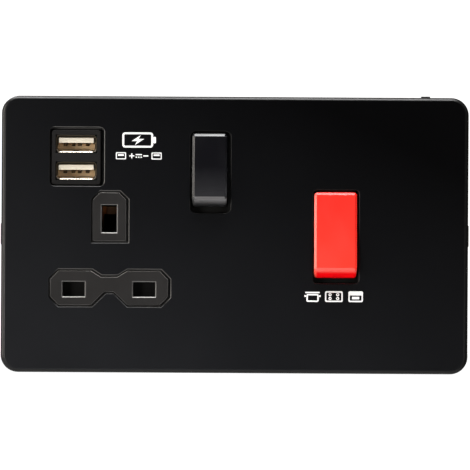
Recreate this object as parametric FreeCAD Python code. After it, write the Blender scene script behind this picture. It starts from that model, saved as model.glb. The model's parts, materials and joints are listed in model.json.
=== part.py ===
import FreeCAD, Part
import os
from math import cos, hypot, pi, radians, sin, tan
from FreeCAD import Vector

# Cooker control unit for a double wall box: a 45 A two-pole cooker switch, a switched
# three-pin 13 A socket outlet and two charging ports, under one clip-on pressed metal plate.
# Millimetres. X runs to the right, Z up, and the front faces -Y. The wall's surface is y = 0,
# and the origin lies on it, midway between the two fixing screws.

# Wall and plate
plate_width = 147.0
plate_height = 87.0
plate_stand = 5.5
plate_wall = 1.2
plate_corner = 5.5
plate_edge_round = 1.5
skirt_gap = 0.5
cut_edge_bevel = 0.2

# Mounting frame under the plate
frame_fit = 0.3
frame_web = 2.0
frame_rim = 1.6
window_fit = 0.3
rib_wall = 1.2
rib_left = -17.2
rib_middle = 14.0
rib_inset = 19.5
rib_top_inset = 5.7
rib_bottom_inset = 7.0
clip_inset = 23.5
clip_length = 9.0
clip_height = 0.9
clip_stand = 0.2
pry_lug_length = 6.6
pry_lug_stand = 0.3
top_lug_x = 60.0
top_lug_length = 2.8
top_lug_stand = 0.5
lug_depth = 2.0
fixing_inset = 13.2
fixing_thread_radius = 1.75
fixing_thread_start = 0.2
fixing_neck_radius = 1.85
fixing_relief_radius = 4.5
fixing_relief_depth = 0.4
fixing_hole_radius = 1.95
fixing_head_radius = 3.4
fixing_head_height = 1.9
fixing_reach = 16.0
leaf_thickness = 0.4
leaf_z = 16.0
leaf_half_width = 2.0

# Three-pin socket
socket_x = -39.5
line_row_z = -17.3
pin_pitch = 22.2
line_slot_width = 7.0
line_slot_height = 4.6
earth_slot_width = 4.7
earth_slot_height = 8.6
slot_lead_in = 0.3
island_fit = 0.55
island_shift = 0.25
island_recess = 0.2
cover_wall = 1.8
cover_step = 0.4
tunnel_wall = 1.2

# Plate openings at the socket
earth_hole_width = 11.6
earth_hole_height = 16.3
earth_hole_lift = 0.6
earth_hole_shift = 0.3
earth_hole_chamfer = 2.6
bow_half_width = 19.1
bow_top = 6.3
bow_bottom = 5.5
bow_neck_top = 4.4
bow_neck_bottom = 1.3
bow_corner = 16.2
bow_corner_drop = 3.0
bow_shoulder = 5.5
bow_neck_half_top = 2.45
bow_neck_half_bottom = 1.2

# Rocker switches
pivot_y = 3.0
rocker_reach = 11.0
rocker_swing = 18.0
rocker_skirt = 6.0
rocker_end_draft = 15.0
rocker_dish = 0.4
rocker_wall = 1.4
rocker_corner = 1.0
rocker_edge = 0.7
rocker_side_gap = 0.35
trunnion_radius = 1.6
trunnion_length = 1.1
running_fit = 0.06
ear_radius = 2.9
ear_half_root = 5.0
tube_wall = 0.7
tower_end = 3.0
plunger_radius = 1.45
plunger_back = 4.5
plunger_reach = 12.1
spring_seat = 8.4
carrier_wall = 1.4
apron_front = 0.8
apron_edge = 6.2
socket_switch_x = -7.95
socket_switch_z = 19.8
socket_switch_hole_x = -7.7
socket_switch_hole_z = 19.7
socket_switch_hole_width = 12.6
socket_switch_hole_height = 25.7
socket_rocker_width = 11.0
socket_rocker_length = 20.6
socket_pole_offset = 2.7
socket_blade_width = 4.2
cooker_switch_x = 31.72
cooker_switch_z = -0.4
cooker_switch_hole_x = 31.9
cooker_switch_hole_z = -0.4
cooker_switch_hole_width = 14.3
cooker_switch_hole_height = 29.3
cooker_rocker_width = 13.4
cooker_rocker_length = 24.6
cooker_pole_offset = 3.3
cooker_blade_width = 5.4
socket_switch_hole_corner = 1.8
cooker_switch_hole_corner = 1.2

# Switch contacts
blade_swing = 12.0
blade_thickness = 1.2
blade_upper = 9.0
blade_lower = 7.0
blade_gap = 0.3
contact_offset = 7.6
tip_half = 1.5
tip_height = 0.7
tip_gap = 0.12
fulcrum_gap = 0.1
fulcrum_half = 1.6
strip_thickness = 1.1
strip_way_gap = 0.3
deck_y = 20.0

# Mouldings behind the wall line
flange = 2.0
base_wall = 1.6
base_floor = 2.0
terminal_back = 30.0
socket_base_left = -59.5
socket_base_notch_x = -53.0
socket_base_notch_z = -8.5
socket_base_right = 11.5
socket_base_bottom = -33.0
socket_base_step_z = 14.1
socket_base_step_x = -18.2
base_margin = 0.4
cooker_base_half_width = 18.9
cooker_base_half_height = 34.5
post_half = 2.3
screw_radius = 1.3
screw_hole_gap = 0.1
screw_head_radius = 2.3
screw_head_height = 1.4
screw_tip_y = 0.3

# Terminals
terminal_offset = 8.2
terminal_width = 9.4
terminal_height = 10.0
terminal_depth = 9.0
terminal_far_z = 30.5
terminal_tunnel = 5.8
terminal_floor = 1.4
terminal_pocket_fit = 0.3
terminal_screw_radius = 2.3
terminal_screw_gap = 0.05
terminal_screw_length = 3.4
cable_way = 6.4
strip_width = 5.2
link_width = 2.0
link_lift = 0.2
earth_terminal_x = (-13.4, -4.8)
earth_terminal_top = -20.6

# Shutter
shutter_front = 1.0
shutter_thickness = 1.8
shutter_cover = 0.75
shutter_travel = 5.8
shutter_half_width = 15.8
shutter_stem_half = 1.95
ramp_run = 7.0
ramp_land = 1.0
shutter_tail_half = 2.2
shutter_tail_depth = 6.6
shutter_tail_drop = 1.0
shutter_spring_radius = 1.5
shutter_spring_wire = 0.4
shutter_spring_turns = 5
shutter_spring_gap = 0.05
shutter_nub_half = 0.7
shutter_nub_length = 1.2
shutter_rail_gap = 0.3
shutter_rail_wall = 1.2

# Pin contacts
fork_thickness = 0.9
line_fork_mouth = 5.2
earth_fork_mouth = 9.4
fork_grip = 1.75
fork_flare = 1.3
fork_waist = 2.9
line_fork_width = 6.0
earth_fork_height = 8.0
earth_strip_z = -26.0
neutral_strip_z = 11.3

# Charging ports
usb_x = -50.0
usb_z = 24.15
usb_hole_x = -49.7
usb_hole_z = 24.4
usb_hole_width = 17.0
usb_hole_height = 18.5
usb_hole_corner = 1.6
usb_width = 15.6
usb_height = 17.4
usb_corner = 1.0
usb_recess = 0.3
usb_depth = 10.0
usb_stem_step = 0.6
usb_pitch = 8.5
port_width = 12.8
port_height = 5.6
port_wall = 0.3
port_fit = 0.1
port_inset = 0.15
port_length = 14.0
tongue_width = 11.0
tongue_thickness = 1.6
tongue_drop = 0.55
tongue_inset = 0.9
port_block_length = 2.4
port_pin_spots = (-3.5, -1.0, 1.0, 3.5)
port_pin_width = 1.1
port_pin_thickness = 0.25
port_pin_bulge = 0.75
usb_cover_left = -59.3
usb_cover_right = -19.6
usb_cover_bottom = 14.7
usb_cover_top = 34.3
usb_cover_back = 27.0
usb_flange = 1.6
usb_cover_wall = 1.2
board_ledge = 1.0
board_y = 11.4
board_thickness = 1.6
board_gap = 0.3
vent_width = 1.2
vent_height = 11.0
vent_pitch = 3.0
vent_count = 4
vent_first_x = -34.5
transformer_x = -49.5
core_width = 14.0
core_height = 12.0
core_front = 2.0
core_back = 9.5
window_width = 9.5
winding_width = 8.6
winding_height = 13.0
winding_front = 3.6
winding_back = 7.9
bobbin_width = 9.7
bobbin_height = 4.0
bobbin_front = 3.0
bobbin_back = 8.5
foot_width = 12.0
foot_depth = 2.2
capacitor_x = -36.0
capacitor_length = 11.5
capacitor_radius = 4.0
chip_x = -33.0
chip_width = 6.0
chip_height = 5.0
chip_thickness = 1.6
lead_radius = 0.6
lead_sides = 8
lead_y = 16.0
lead_start_z = 18.2
lead_spots = ((-22.8, 4.0), (-25.8, 10.4))
neutral_lead_end = -14.0

hidden_sides = 12

# Worked out from the sizes above
plate_front = -plate_stand
plate_back = plate_front + plate_wall
cover_face = plate_back + cover_step
rocker_face = pivot_y - rocker_reach
half_swing = rocker_swing / 2
rocker_flare = rocker_skirt * tan(radians(rocker_end_draft))
skirt_lean = (rocker_reach - rocker_skirt) * sin(radians(half_swing))
well_margin = skirt_lean + rocker_side_gap + carrier_wall
socket_well_half_height = (socket_rocker_length / 2 + rocker_flare) * cos(radians(half_swing)) + well_margin
link_top = terminal_far_z + link_lift + link_width
well_top = socket_switch_z + socket_well_half_height
socket_base_top = max(well_top, link_top + strip_way_gap) + base_margin
strip_front = deck_y - strip_thickness
plunger_tip_y = pivot_y + plunger_reach
blade_y = plunger_tip_y + blade_gap + blade_thickness / 2
earth_slot_z = line_row_z + pin_pitch
live_x = socket_x + pin_pitch / 2
neutral_x = socket_x - pin_pitch / 2
frame_half_width = plate_width / 2 - plate_wall - frame_fit
frame_half_height = plate_height / 2 - plate_wall - frame_fit
fixing_x = plate_width / 2 - fixing_inset
rib_spots_x = (rib_left, rib_middle, plate_width / 2 - rib_inset)
rib_spots_z = (rib_bottom_inset - plate_height / 2, plate_height / 2 - rib_top_inset)
clip_spread = plate_width / 2 - clip_inset
socket_live_x = socket_switch_x + socket_pole_offset
socket_neutral_x = socket_switch_x - socket_pole_offset
cooker_live_x = cooker_switch_x - cooker_pole_offset
cooker_neutral_x = cooker_switch_x + cooker_pole_offset
socket_posts = ((-55.2, -28.8), (7.3, 21.5))
cooker_posts = ((cooker_switch_x - 14.7, -17.3), (cooker_switch_x + 14.7, 17.3))
socket_base_outline = (
    (socket_base_left, socket_base_bottom),
    (socket_base_right, socket_base_bottom),
    (socket_base_right, socket_base_top),
    (socket_base_step_x, socket_base_top),
    (socket_base_step_x, socket_base_step_z),
    (socket_base_notch_x, socket_base_step_z),
    (socket_base_notch_x, socket_base_notch_z),
    (socket_base_left, socket_base_notch_z),
)


def slab(x0, x1, y0, y1, z0, z1):
    """A box given by its two corners."""
    return Part.makeBox(x1 - x0, y1 - y0, z1 - z0, Vector(x0, y0, z0))


def panel(x, z, width, height, y0, y1, corner=0.0):
    """A box about (x, z) from y0 to y1, with its four corners rounded."""
    body = slab(x - width / 2, x + width / 2, y0, y1, z - height / 2, z + height / 2)
    if corner == 0:
        return body
    edges = [e for e in body.Edges if abs(e.Vertexes[0].Y - e.Vertexes[-1].Y) > 0.01]
    return body.makeFillet(corner, edges)


def outline(points, y):
    """A closed outline in a plane parallel to the wall."""
    return Part.makePolygon([Vector(x, y, z) for x, z in points] + [Vector(points[0][0], y, points[0][1])])


def prism(points, y0, y1, inset=0.0):
    """An outline pushed from y0 to y1, drawn in all round by the inset."""
    wire = outline(points, y0)
    if inset:
        wire = wire.makeOffset2D(-inset, 2)
    return Part.Face(wire).extrude(Vector(0, y1 - y0, 0))


def side_prism(points, x0, x1):
    """An outline given as (y, z), pushed from x0 to x1."""
    ring = [Vector(x0, y, z) for y, z in points]
    return Part.Face(Part.makePolygon(ring + ring[:1])).extrude(Vector(x1 - x0, 0, 0))


def top_prism(points, z0, z1):
    """An outline given as (x, y), pushed from z0 to z1."""
    ring = [Vector(x, y, z0) for x, y in points]
    return Part.Face(Part.makePolygon(ring + ring[:1])).extrude(Vector(0, 0, z1 - z0))


def rod(axis, x, y, z, length, radius):
    """A round bar that starts at (x, y, z) and runs along the axis."""
    return Part.makeCylinder(radius, length, Vector(x, y, z), axis)


def ring(x, y, z, radius, sides):
    """A ring of straight sides in a plane parallel to the wall."""
    turns = [i * 2 * pi / sides for i in range(sides)]
    return outline([(x + radius * cos(turn), z + radius * sin(turn)) for turn in turns], y)


def hidden_rod(x, y, z, length, radius):
    """A bar of few sides that runs into the wall, for round parts that stay out of sight."""
    return Part.Face(ring(x, y, z, radius, hidden_sides)).extrude(Vector(0, length, 0))


ALONG_X = Vector(1, 0, 0)
ALONG_Y = Vector(0, 1, 0)


def join(first, *rest):
    """The pieces made one solid, without seams between flush faces."""
    return first.fuse(list(rest)).removeSplitter()


def group(pieces):
    """Separate solids that share a node."""
    return Part.makeCompound(list(pieces))


def band(points, thickness):
    """The outline of a bent strip about a centre line, with mitred bends."""
    left = []
    right = []
    last = len(points) - 1
    for i, (a, b) in enumerate(points):
        before = points[max(i - 1, 0)]
        after = points[min(i + 1, last)]
        runs = []
        for p, q in ((before, (a, b)), ((a, b), after)):
            size = hypot(q[0] - p[0], q[1] - p[1])
            if size > 0:
                runs.append(((q[0] - p[0]) / size, (q[1] - p[1]) / size))
        ux = sum(run[0] for run in runs)
        uy = sum(run[1] for run in runs)
        size = hypot(ux, uy)
        nx = -uy / size
        ny = ux / size
        reach = thickness / 2 / (nx * -runs[0][1] + ny * runs[0][0])
        left.append((a + nx * reach, b + ny * reach))
        right.append((a - nx * reach, b - ny * reach))
    return left + right[::-1]


def flared_slot(x, z, width, height, y0, y1):
    """A pin slot with a small lead-in round its mouth at y0."""
    wide = outline_box(x, z, width + 2 * slot_lead_in, height + 2 * slot_lead_in, y0)
    tight = outline_box(x, z, width, height, y0 + slot_lead_in)
    mouth = Part.makeLoft([wide, tight], True, True)
    return mouth.fuse(panel(x, z, width, height, y0 + slot_lead_in / 2, y1))


def outline_box(x, z, width, height, y):
    """A rectangle about (x, z) in a plane parallel to the wall."""
    w = width / 2
    h = height / 2
    return outline(((x - w, z - h), (x + w, z - h), (x + w, z + h), (x - w, z + h)), y)


def coil(radius, wire, length, turns):
    """A compression spring from z = 0 to z = length, of square section, with eight flats to a turn."""
    steps = 8 * turns
    rise = (length - wire) / steps
    low = wire / 2
    rings = []
    for i in range(steps + 1):
        angle = i * pi / 4
        ring = []
        for out, up in ((-low, -low), (low, -low), (low, low), (-low, low)):
            reach = radius + out
            ring.append(Vector(reach * cos(angle), reach * sin(angle), low + i * rise + up))
        rings.append(ring)
    faces = [flat_face(rings[0]), flat_face(rings[-1])]
    for near, far in zip(rings, rings[1:]):
        for k in range(4):
            n = (k + 1) % 4
            faces.append(flat_face((near[k], near[n], far[n])))
            faces.append(flat_face((near[k], far[n], far[k])))
    return Part.makeSolid(Part.makeShell(faces))


def flat_face(corners):
    """A flat face through its corners."""
    return Part.Face(Part.makePolygon(list(corners) + [corners[0]]))


def earth_hole_outline(inset_shift=0.0):
    """The opening round the earth slot, with its two upper corners cut off."""
    x = socket_x + earth_hole_shift + inset_shift
    z = earth_slot_z + earth_hole_lift
    w = earth_hole_width / 2
    h = earth_hole_height / 2
    c = earth_hole_chamfer
    shoulder = z + h - c
    return (
        (x - w, z - h), (x + w, z - h), (x + w, shoulder),
        (x + w - c, z + h), (x - w + c, z + h), (x - w, shoulder),
    )


def bow_outline(inset_shift=0.0):
    """The bow-tie opening round the two line slots."""
    right = (
        (bow_neck_half_bottom, -bow_neck_bottom),
        (bow_shoulder, -bow_bottom),
        (bow_corner, -bow_bottom),
        (bow_half_width, -bow_bottom + bow_corner_drop),
        (bow_half_width, bow_top - bow_corner_drop),
        (bow_corner, bow_top),
        (bow_shoulder, bow_top),
        (bow_neck_half_top, bow_neck_top),
    )
    x = socket_x + earth_hole_shift + inset_shift
    half = [(x + a, line_row_z + b) for a, b in right]
    mirrored = [(x - a, line_row_z + b) for a, b in reversed(right)]
    return tuple(half + mirrored)


def plate_openings(y0, y1):
    """The five openings of the metal plate."""
    return [
        prism(earth_hole_outline(), y0, y1),
        prism(bow_outline(), y0, y1),
        panel(usb_hole_x, usb_hole_z, usb_hole_width, usb_hole_height, y0, y1, usb_hole_corner),
        panel(
            socket_switch_hole_x, socket_switch_hole_z, socket_switch_hole_width,
            socket_switch_hole_height, y0, y1, socket_switch_hole_corner,
        ),
        panel(
            cooker_switch_hole_x, cooker_switch_hole_z, cooker_switch_hole_width,
            cooker_switch_hole_height, y0, y1, cooker_switch_hole_corner,
        ),
    ]


def frame_lugs(gap):
    """The three lugs of the frame that show at the plate's edge, or with a gap their notches."""
    x = plate_width / 2 + pry_lug_stand
    top = plate_height / 2 + top_lug_stand
    pry = pry_lug_length / 2 + gap
    peek = top_lug_length / 2 + gap
    deep = -lug_depth - gap
    inner_x = frame_half_width - frame_rim
    inner_z = frame_half_height - frame_rim
    return [
        slab(inner_x, x + gap, deep, 0, -pry, pry),
        slab(-x - gap, -inner_x, deep, 0, -pry, pry),
        slab(top_lug_x - peek, top_lug_x + peek, deep, 0, inner_z, top + gap),
    ]


def front_plate():
    """The pressed metal plate: a shallow tray with a rounded edge and five openings."""
    outer = panel(0, 0, plate_width, plate_height, plate_front, -skirt_gap, plate_corner)
    rim = [e for e in outer.Edges if e.BoundBox.YMax < plate_front + 0.01]
    outer = outer.makeFillet(plate_edge_round, rim)
    inner_width = plate_width - 2 * plate_wall
    inner_height = plate_height - 2 * plate_wall
    inner = panel(0, 0, inner_width, inner_height, plate_back, 0, plate_corner - plate_wall)
    body = outer.cut(inner)
    body = body.cut(plate_openings(plate_front - 1, plate_back + 1))
    edges = [e for e in body.Edges if e.BoundBox.YMax < plate_front + 0.01 and inside_plate(e)]
    body = body.makeChamfer(cut_edge_bevel, edges)
    return body.cut(frame_lugs(frame_fit))


def inside_plate(edge):
    """Whether an edge of the front face belongs to an opening and not to the rim."""
    box = edge.BoundBox
    reach_x = plate_width / 2 - plate_corner
    reach_z = plate_height / 2 - plate_corner
    return max(abs(box.XMin), abs(box.XMax)) < reach_x and max(abs(box.ZMin), abs(box.ZMax)) < reach_z


def usb_window(fit):
    """Where the charging insert passes the frame."""
    return panel(usb_x, usb_z, usb_width + 2 * fit, usb_height + 2 * fit, plate_back - 1, 1)


def socket_plug_outline():
    """The part of the socket cover that fills the frame's window."""
    right = socket_x + earth_hole_shift + bow_half_width + 0.6
    left = socket_x - earth_hole_shift - bow_half_width - 0.3
    bottom = line_row_z - bow_bottom - 2.2
    return (
        (left, bottom), (right, bottom), (right, socket_base_step_z),
        (socket_base_notch_x, socket_base_step_z), (socket_base_notch_x, socket_base_notch_z),
        (left, socket_base_notch_z),
    )


def carrier_half_width(width):
    """Outer half width of the well that a rocker of this width swings in."""
    return width / 2 + rocker_side_gap + carrier_wall


def carrier_half_height(length):
    """Outer half height of a rocker's well, clear of the skirt at both ends of its swing."""
    return (length / 2 + rocker_flare) * cos(radians(half_swing)) + well_margin


def mounting_frame():
    """The moulded frame that the plate clips to, with windows for what shows through."""
    corner = plate_corner - plate_wall - frame_fit
    body = panel(0, 0, 2 * frame_half_width, 2 * frame_half_height, plate_back, 0, corner)
    well = panel(
        0, 0, 2 * (frame_half_width - frame_rim), 2 * (frame_half_height - frame_rim),
        plate_back - 1, -frame_web, corner - frame_rim,
    )
    body = body.cut(well)
    ribs = []
    for x in rib_spots_x:
        ribs.append(panel(x, 0, rib_wall, 2 * frame_half_height - frame_rim, plate_back, -frame_web + 0.5))
    for z in rib_spots_z:
        ribs.append(panel(0, z, 2 * frame_half_width - frame_rim, rib_wall, plate_back, -frame_web + 0.5))
    for side in (-1, 1):
        for x in (-clip_spread, 0, clip_spread):
            edge = side * frame_half_height
            ribs.append(clip(x, edge, side))
    body = join(body, *ribs, *frame_lugs(0))
    cuts = [prism(socket_plug_outline(), plate_back - 1, 1, -window_fit), usb_window(window_fit)]
    for x, z, width, length in rockers():
        wide = 2 * (carrier_half_width(width) + window_fit)
        high = 2 * (carrier_half_height(length) + window_fit)
        cuts.append(panel(x, z, wide, high, plate_back - 1, 1))
    for side in (-1, 1):
        cuts.append(rod(ALONG_Y, side * fixing_x, plate_back - 1, 0, plate_stand + 1, fixing_hole_radius))
        depth = fixing_relief_depth
        cuts.append(hidden_rod(side * fixing_x, -depth, 0, depth + 1, fixing_relief_radius))
    return body.cut(cuts)


def clip(x, z, side):
    """One low snap bead on the frame's long edge, under the plate's skirt."""
    half = clip_length / 2
    y = (plate_back - frame_web) / 2
    low = clip_height / 2
    crest = z + side * clip_stand
    points = ((y - low, z - side), (y - low, z), (y, crest), (y + low, z), (y + low, z - side))
    return side_prism(points, x - half, x + half)


def fixing_screws():
    """Two machine screws that hold the unit to the wall box, their heads on the frame's web."""
    screws = []
    for side in (-1, 1):
        x = side * fixing_x
        top = -frame_web - fixing_head_height
        neck_end = -fixing_thread_start
        head = rod(ALONG_Y, x, top, 0, fixing_head_height, fixing_head_radius)
        neck = hidden_rod(x, -frame_web, 0, frame_web - fixing_thread_start, fixing_neck_radius)
        shank = rod(ALONG_Y, x, neck_end, 0, fixing_reach - neck_end, fixing_thread_radius)
        slot = slab(x - fixing_head_radius, x + fixing_head_radius, top - 1, top + 0.8, -0.4, 0.4)
        screws.append(join(head, neck, shank).cut(slot))
    return group(screws)


def rockers():
    """Place, width and face length of the two rockers."""
    return (
        (socket_switch_x, socket_switch_z, socket_rocker_width, socket_rocker_length),
        (cooker_switch_x, cooker_switch_z, cooker_rocker_width, cooker_rocker_length),
    )


def socket_cover():
    """The socket's front moulding: two islands that show, pin tunnels and a flange behind the frame."""
    body = prism(socket_plug_outline(), cover_face, 0)
    back = slab(
        socket_base_left, socket_base_step_x - 0.2, 0, flange, socket_base_bottom, socket_base_step_z,
    )
    notch = slab(socket_base_left - 1, socket_base_notch_x, -1, flange + 1, socket_base_notch_z, 20)
    body = join(body, back.cut(notch))
    room = prism(socket_plug_outline(), cover_face + cover_wall, flange + 1, carrier_wall)
    slide = slab(
        socket_x - shutter_half_width - 1.6, socket_x + shutter_half_width + 1.6, 0, flange + 1,
        line_row_z - line_slot_height / 2 - shutter_cover - shutter_travel - shutter_tail_drop - 1,
        line_row_z,
    )
    body = body.cut([room, slide])
    shown = [
        prism(earth_hole_outline(-island_shift), plate_front + island_recess, cover_face + 0.2, island_fit),
        prism(bow_outline(-island_shift), plate_front + island_recess, cover_face + 0.2, island_fit),
    ]
    tunnel_end = shutter_front - 0.35
    tunnels = []
    slots = []
    for x, z, width, height in pin_slots():
        wide = width + 2 * tunnel_wall
        high = height + 2 * tunnel_wall
        tunnels.append(panel(x, z, wide, high, cover_face + cover_wall / 2, tunnel_end))
        slots.append(flared_slot(x, z, width, height, plate_front + island_recess, flange + 2))
    body = join(body, *shown, *tunnels).cut(slots)
    return body.cut(post_holes(socket_posts))


def pin_slots():
    """Place and size of the earth, live and neutral slots."""
    return (
        (socket_x, earth_slot_z, earth_slot_width, earth_slot_height),
        (live_x, line_row_z, line_slot_width, line_slot_height),
        (neutral_x, line_row_z, line_slot_width, line_slot_height),
    )


def post_holes(spots):
    """Clearance for the housing screws through a flange."""
    return [hidden_rod(x, -1, z, flange + 2, screw_radius + screw_hole_gap) for x, z in spots]


def shutter():
    """The sprung safety shutter: one bar over both line slots and a ramp in the earth pin's way."""
    bar_top = line_row_z + line_slot_height / 2 + shutter_cover
    bar_bottom = line_row_z - line_slot_height / 2 - shutter_cover
    back = shutter_front + shutter_thickness
    bar = slab(
        socket_x - shutter_half_width, socket_x + shutter_half_width,
        shutter_front, back, bar_bottom, bar_top,
    )
    ramp_foot = earth_slot_z - earth_slot_height / 2
    ramp_top = ramp_foot + shutter_travel
    ramp_back = shutter_front + ramp_run + ramp_land
    stem_points = (
        (shutter_front, bar_bottom), (back, bar_bottom),
        (back, ramp_foot - 3), (ramp_back, ramp_foot - 0.5),
        (ramp_back, ramp_top), (ramp_back - ramp_land, ramp_top), (shutter_front, ramp_foot),
    )
    stem = side_prism(stem_points, socket_x - shutter_stem_half, socket_x + shutter_stem_half)
    tail = slab(
        socket_x - shutter_tail_half, socket_x + shutter_tail_half, shutter_front,
        shutter_front + shutter_tail_depth, bar_bottom - shutter_tail_drop, bar_bottom + 2,
    )
    half = shutter_nub_half
    nub_z = bar_bottom - shutter_tail_drop
    nub_y = shutter_spring_y()
    nub_middle = nub_z - shutter_nub_length / 2
    nub = panel(socket_x, nub_middle, 2 * half, shutter_nub_length + 0.2, nub_y - half, nub_y + half)
    return join(bar, stem, tail, nub)


def shutter_spring_y():
    """The spring's axis, under the middle of the shutter's tail."""
    return shutter_front + shutter_tail_depth / 2


def shutter_spring_top():
    """Where the shutter's tail rests on its spring."""
    return line_row_z - line_slot_height / 2 - shutter_cover - shutter_tail_drop


def shutter_spring():
    """The shutter's return spring, between the tail and the bottom wall of the base."""
    foot = socket_base_bottom + base_wall
    length = shutter_spring_top() - foot - 2 * shutter_spring_gap
    spring = coil(shutter_spring_radius, shutter_spring_wire, length, shutter_spring_turns)
    spring.translate(Vector(socket_x, shutter_spring_y(), foot + shutter_spring_gap))
    return spring


def fork_line(mouth):
    """Centre line of a pin contact's two jaws, from one mouth round the back to the other."""
    seat = deck_y - fork_thickness / 2
    half = (
        (fork_grip + fork_flare, mouth), (fork_grip, mouth + 1.5), (fork_grip, mouth + 4.0),
        (fork_waist, mouth + 8.0), (fork_waist, seat),
    )
    return list(half) + [(-a, b) for a, b in reversed(half)]


def flat_strip(runs):
    """A flat strip on the deck, one box for each run given as x0, x1, z0, z1."""
    boxes = [slab(x0, x1, strip_front, deck_y, z0, z1) for x0, x1, z0, z1 in runs]
    return join(*boxes) if len(boxes) > 1 else boxes[0]


def line_fork(x):
    """A contact that grips a line pin from above and below."""
    points = [(y, line_row_z + a) for a, y in fork_line(line_fork_mouth)]
    return side_prism(band(points, fork_thickness), x - line_fork_width / 2, x + line_fork_width / 2)


def fulcrum(x, z, width):
    """The raised edge that a switch blade rocks on."""
    tip = blade_y + blade_thickness / 2 + fulcrum_gap
    points = (
        (strip_front + 0.2, z - fulcrum_half), (tip + 0.3, z - 0.5), (tip, z), (tip + 0.3, z + 0.5),
        (strip_front + 0.2, z + fulcrum_half),
    )
    return side_prism(points, x - width / 2, x + width / 2)


def live_runs():
    """The live strip, from the pin contact to the socket switch."""
    half = socket_blade_width / 2
    return (
        (live_x - 2, socket_live_x + half, line_row_z - 2, line_row_z + 2),
        (socket_live_x - half, socket_live_x + half, line_row_z, socket_switch_z + 2),
    )


def neutral_runs():
    """The neutral strip, round the earth contact to the socket switch."""
    half = socket_blade_width / 2
    low = neutral_strip_z - 1.8
    return (
        (neutral_x, neutral_x + 2.9, line_row_z - 2, neutral_strip_z),
        (neutral_x, socket_neutral_x + half, low, neutral_strip_z),
        (socket_neutral_x - half, socket_neutral_x + half, low, socket_switch_z + 2),
    )


def earth_runs():
    """The earth strip, down between the line contacts and across to the earth terminals."""
    right = earth_terminal_x[1] + terminal_width / 2
    return (
        (socket_x - 2, socket_x + 2, earth_strip_z - 2, earth_slot_z),
        (socket_x - 2, right, earth_strip_z - 2, earth_strip_z + 2),
    )


def live_contact():
    """The live pin's contact, with its strip to the socket switch."""
    ridge = fulcrum(socket_live_x, socket_switch_z, socket_blade_width)
    return join(line_fork(live_x), flat_strip(live_runs()), ridge)


def neutral_contact():
    """The neutral pin's contact, with its strip round the earth contact to the socket switch."""
    ridge = fulcrum(socket_neutral_x, socket_switch_z, socket_blade_width)
    return join(line_fork(neutral_x), flat_strip(neutral_runs()), ridge)


def earth_contact():
    """The earth pin's contact, with its strip between the line contacts to the earth terminals."""
    points = [(socket_x + a, y) for a, y in fork_line(earth_fork_mouth)]
    half = earth_fork_height / 2
    jaws = top_prism(band(points, fork_thickness), earth_slot_z - half, earth_slot_z + half)
    return join(jaws, flat_strip(earth_runs()))


def blade(x, z, width):
    """A switch's moving contact, drawn at rest with its upper end forward and the contact open."""
    front = blade_y - blade_thickness / 2
    back = blade_y + blade_thickness / 2
    points = (
        (front, z - blade_lower), (back, z - blade_lower),
        (back, z + blade_upper), (front, z + blade_upper),
    )
    bar = side_prism(points, x - width / 2, x + width / 2)
    tip = panel(x, z + contact_offset, 2 * tip_half, 2 * tip_half, back, back + tip_height)
    piece = join(bar, tip)
    piece.rotate(Vector(x, blade_y, z), ALONG_X, blade_swing / 2)
    return piece


def fixed_tip(x, z):
    """The fixed contact that a blade closes on, standing on its strip with a small gap left when closed."""
    tilt = radians(blade_swing / 2)
    reach = (blade_thickness / 2 + tip_height) * cos(tilt) + (contact_offset + tip_half) * sin(tilt)
    return panel(x, z + contact_offset, 2 * tip_half, 2 * tip_half, blade_y + reach + tip_gap, strip_front)


def live_link():
    """The bar that feeds the socket switch's live contact from the live supply terminal."""
    half = socket_blade_width / 2
    z = socket_switch_z + contact_offset
    bar = link_width / 2
    right = cooker_switch_x - terminal_offset - strip_width / 2
    runs = (
        (socket_live_x - half, socket_live_x + half, z - 2, z + 2),
        (socket_live_x, right, z - bar, z + bar),
    )
    return join(flat_strip(runs), fixed_tip(socket_live_x, socket_switch_z))


def neutral_link():
    """The bar that feeds the socket switch's neutral contact, passing above the live supply terminal."""
    half = socket_blade_width / 2
    z = socket_switch_z + contact_offset
    top = link_top
    low = top - link_width
    right = cooker_switch_x + terminal_offset
    runs = (
        (socket_neutral_x - half, socket_neutral_x + half, z - 2, top),
        (socket_neutral_x, right + strip_width / 2, low, top),
        (right - strip_width / 2, right + strip_width / 2, terminal_far_z, top),
    )
    return join(flat_strip(runs), fixed_tip(socket_neutral_x, socket_switch_z))


def supply_contact(x, side):
    """A cooker pole's fixed contact, with its strip up to the supply terminal."""
    half = cooker_blade_width / 2
    z = cooker_switch_z + contact_offset
    outer = cooker_switch_x + side * terminal_offset
    jog = sorted((x - side * half, outer + side * strip_width / 2))
    runs = (
        (x - half, x + half, z - 2.2, 19.0),
        (jog[0], jog[1], 15.6, 19.0),
        (outer - strip_width / 2, outer + strip_width / 2, 15.6, terminal_far_z),
    )
    return join(flat_strip(runs), fixed_tip(x, cooker_switch_z))


def load_contact(x, side):
    """A cooker pole's rocking seat, with its strip down to the load terminal."""
    half = cooker_blade_width / 2
    outer = cooker_switch_x + side * terminal_offset
    jog = sorted((x - side * half, outer + side * strip_width / 2))
    runs = (
        (x - half, x + half, -19.0, cooker_switch_z + 2),
        (jog[0], jog[1], -19.0, -15.6),
        (outer - strip_width / 2, outer + strip_width / 2, -terminal_far_z, -15.6),
    )
    return join(flat_strip(runs), fulcrum(x, cooker_switch_z, cooker_blade_width))


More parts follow.
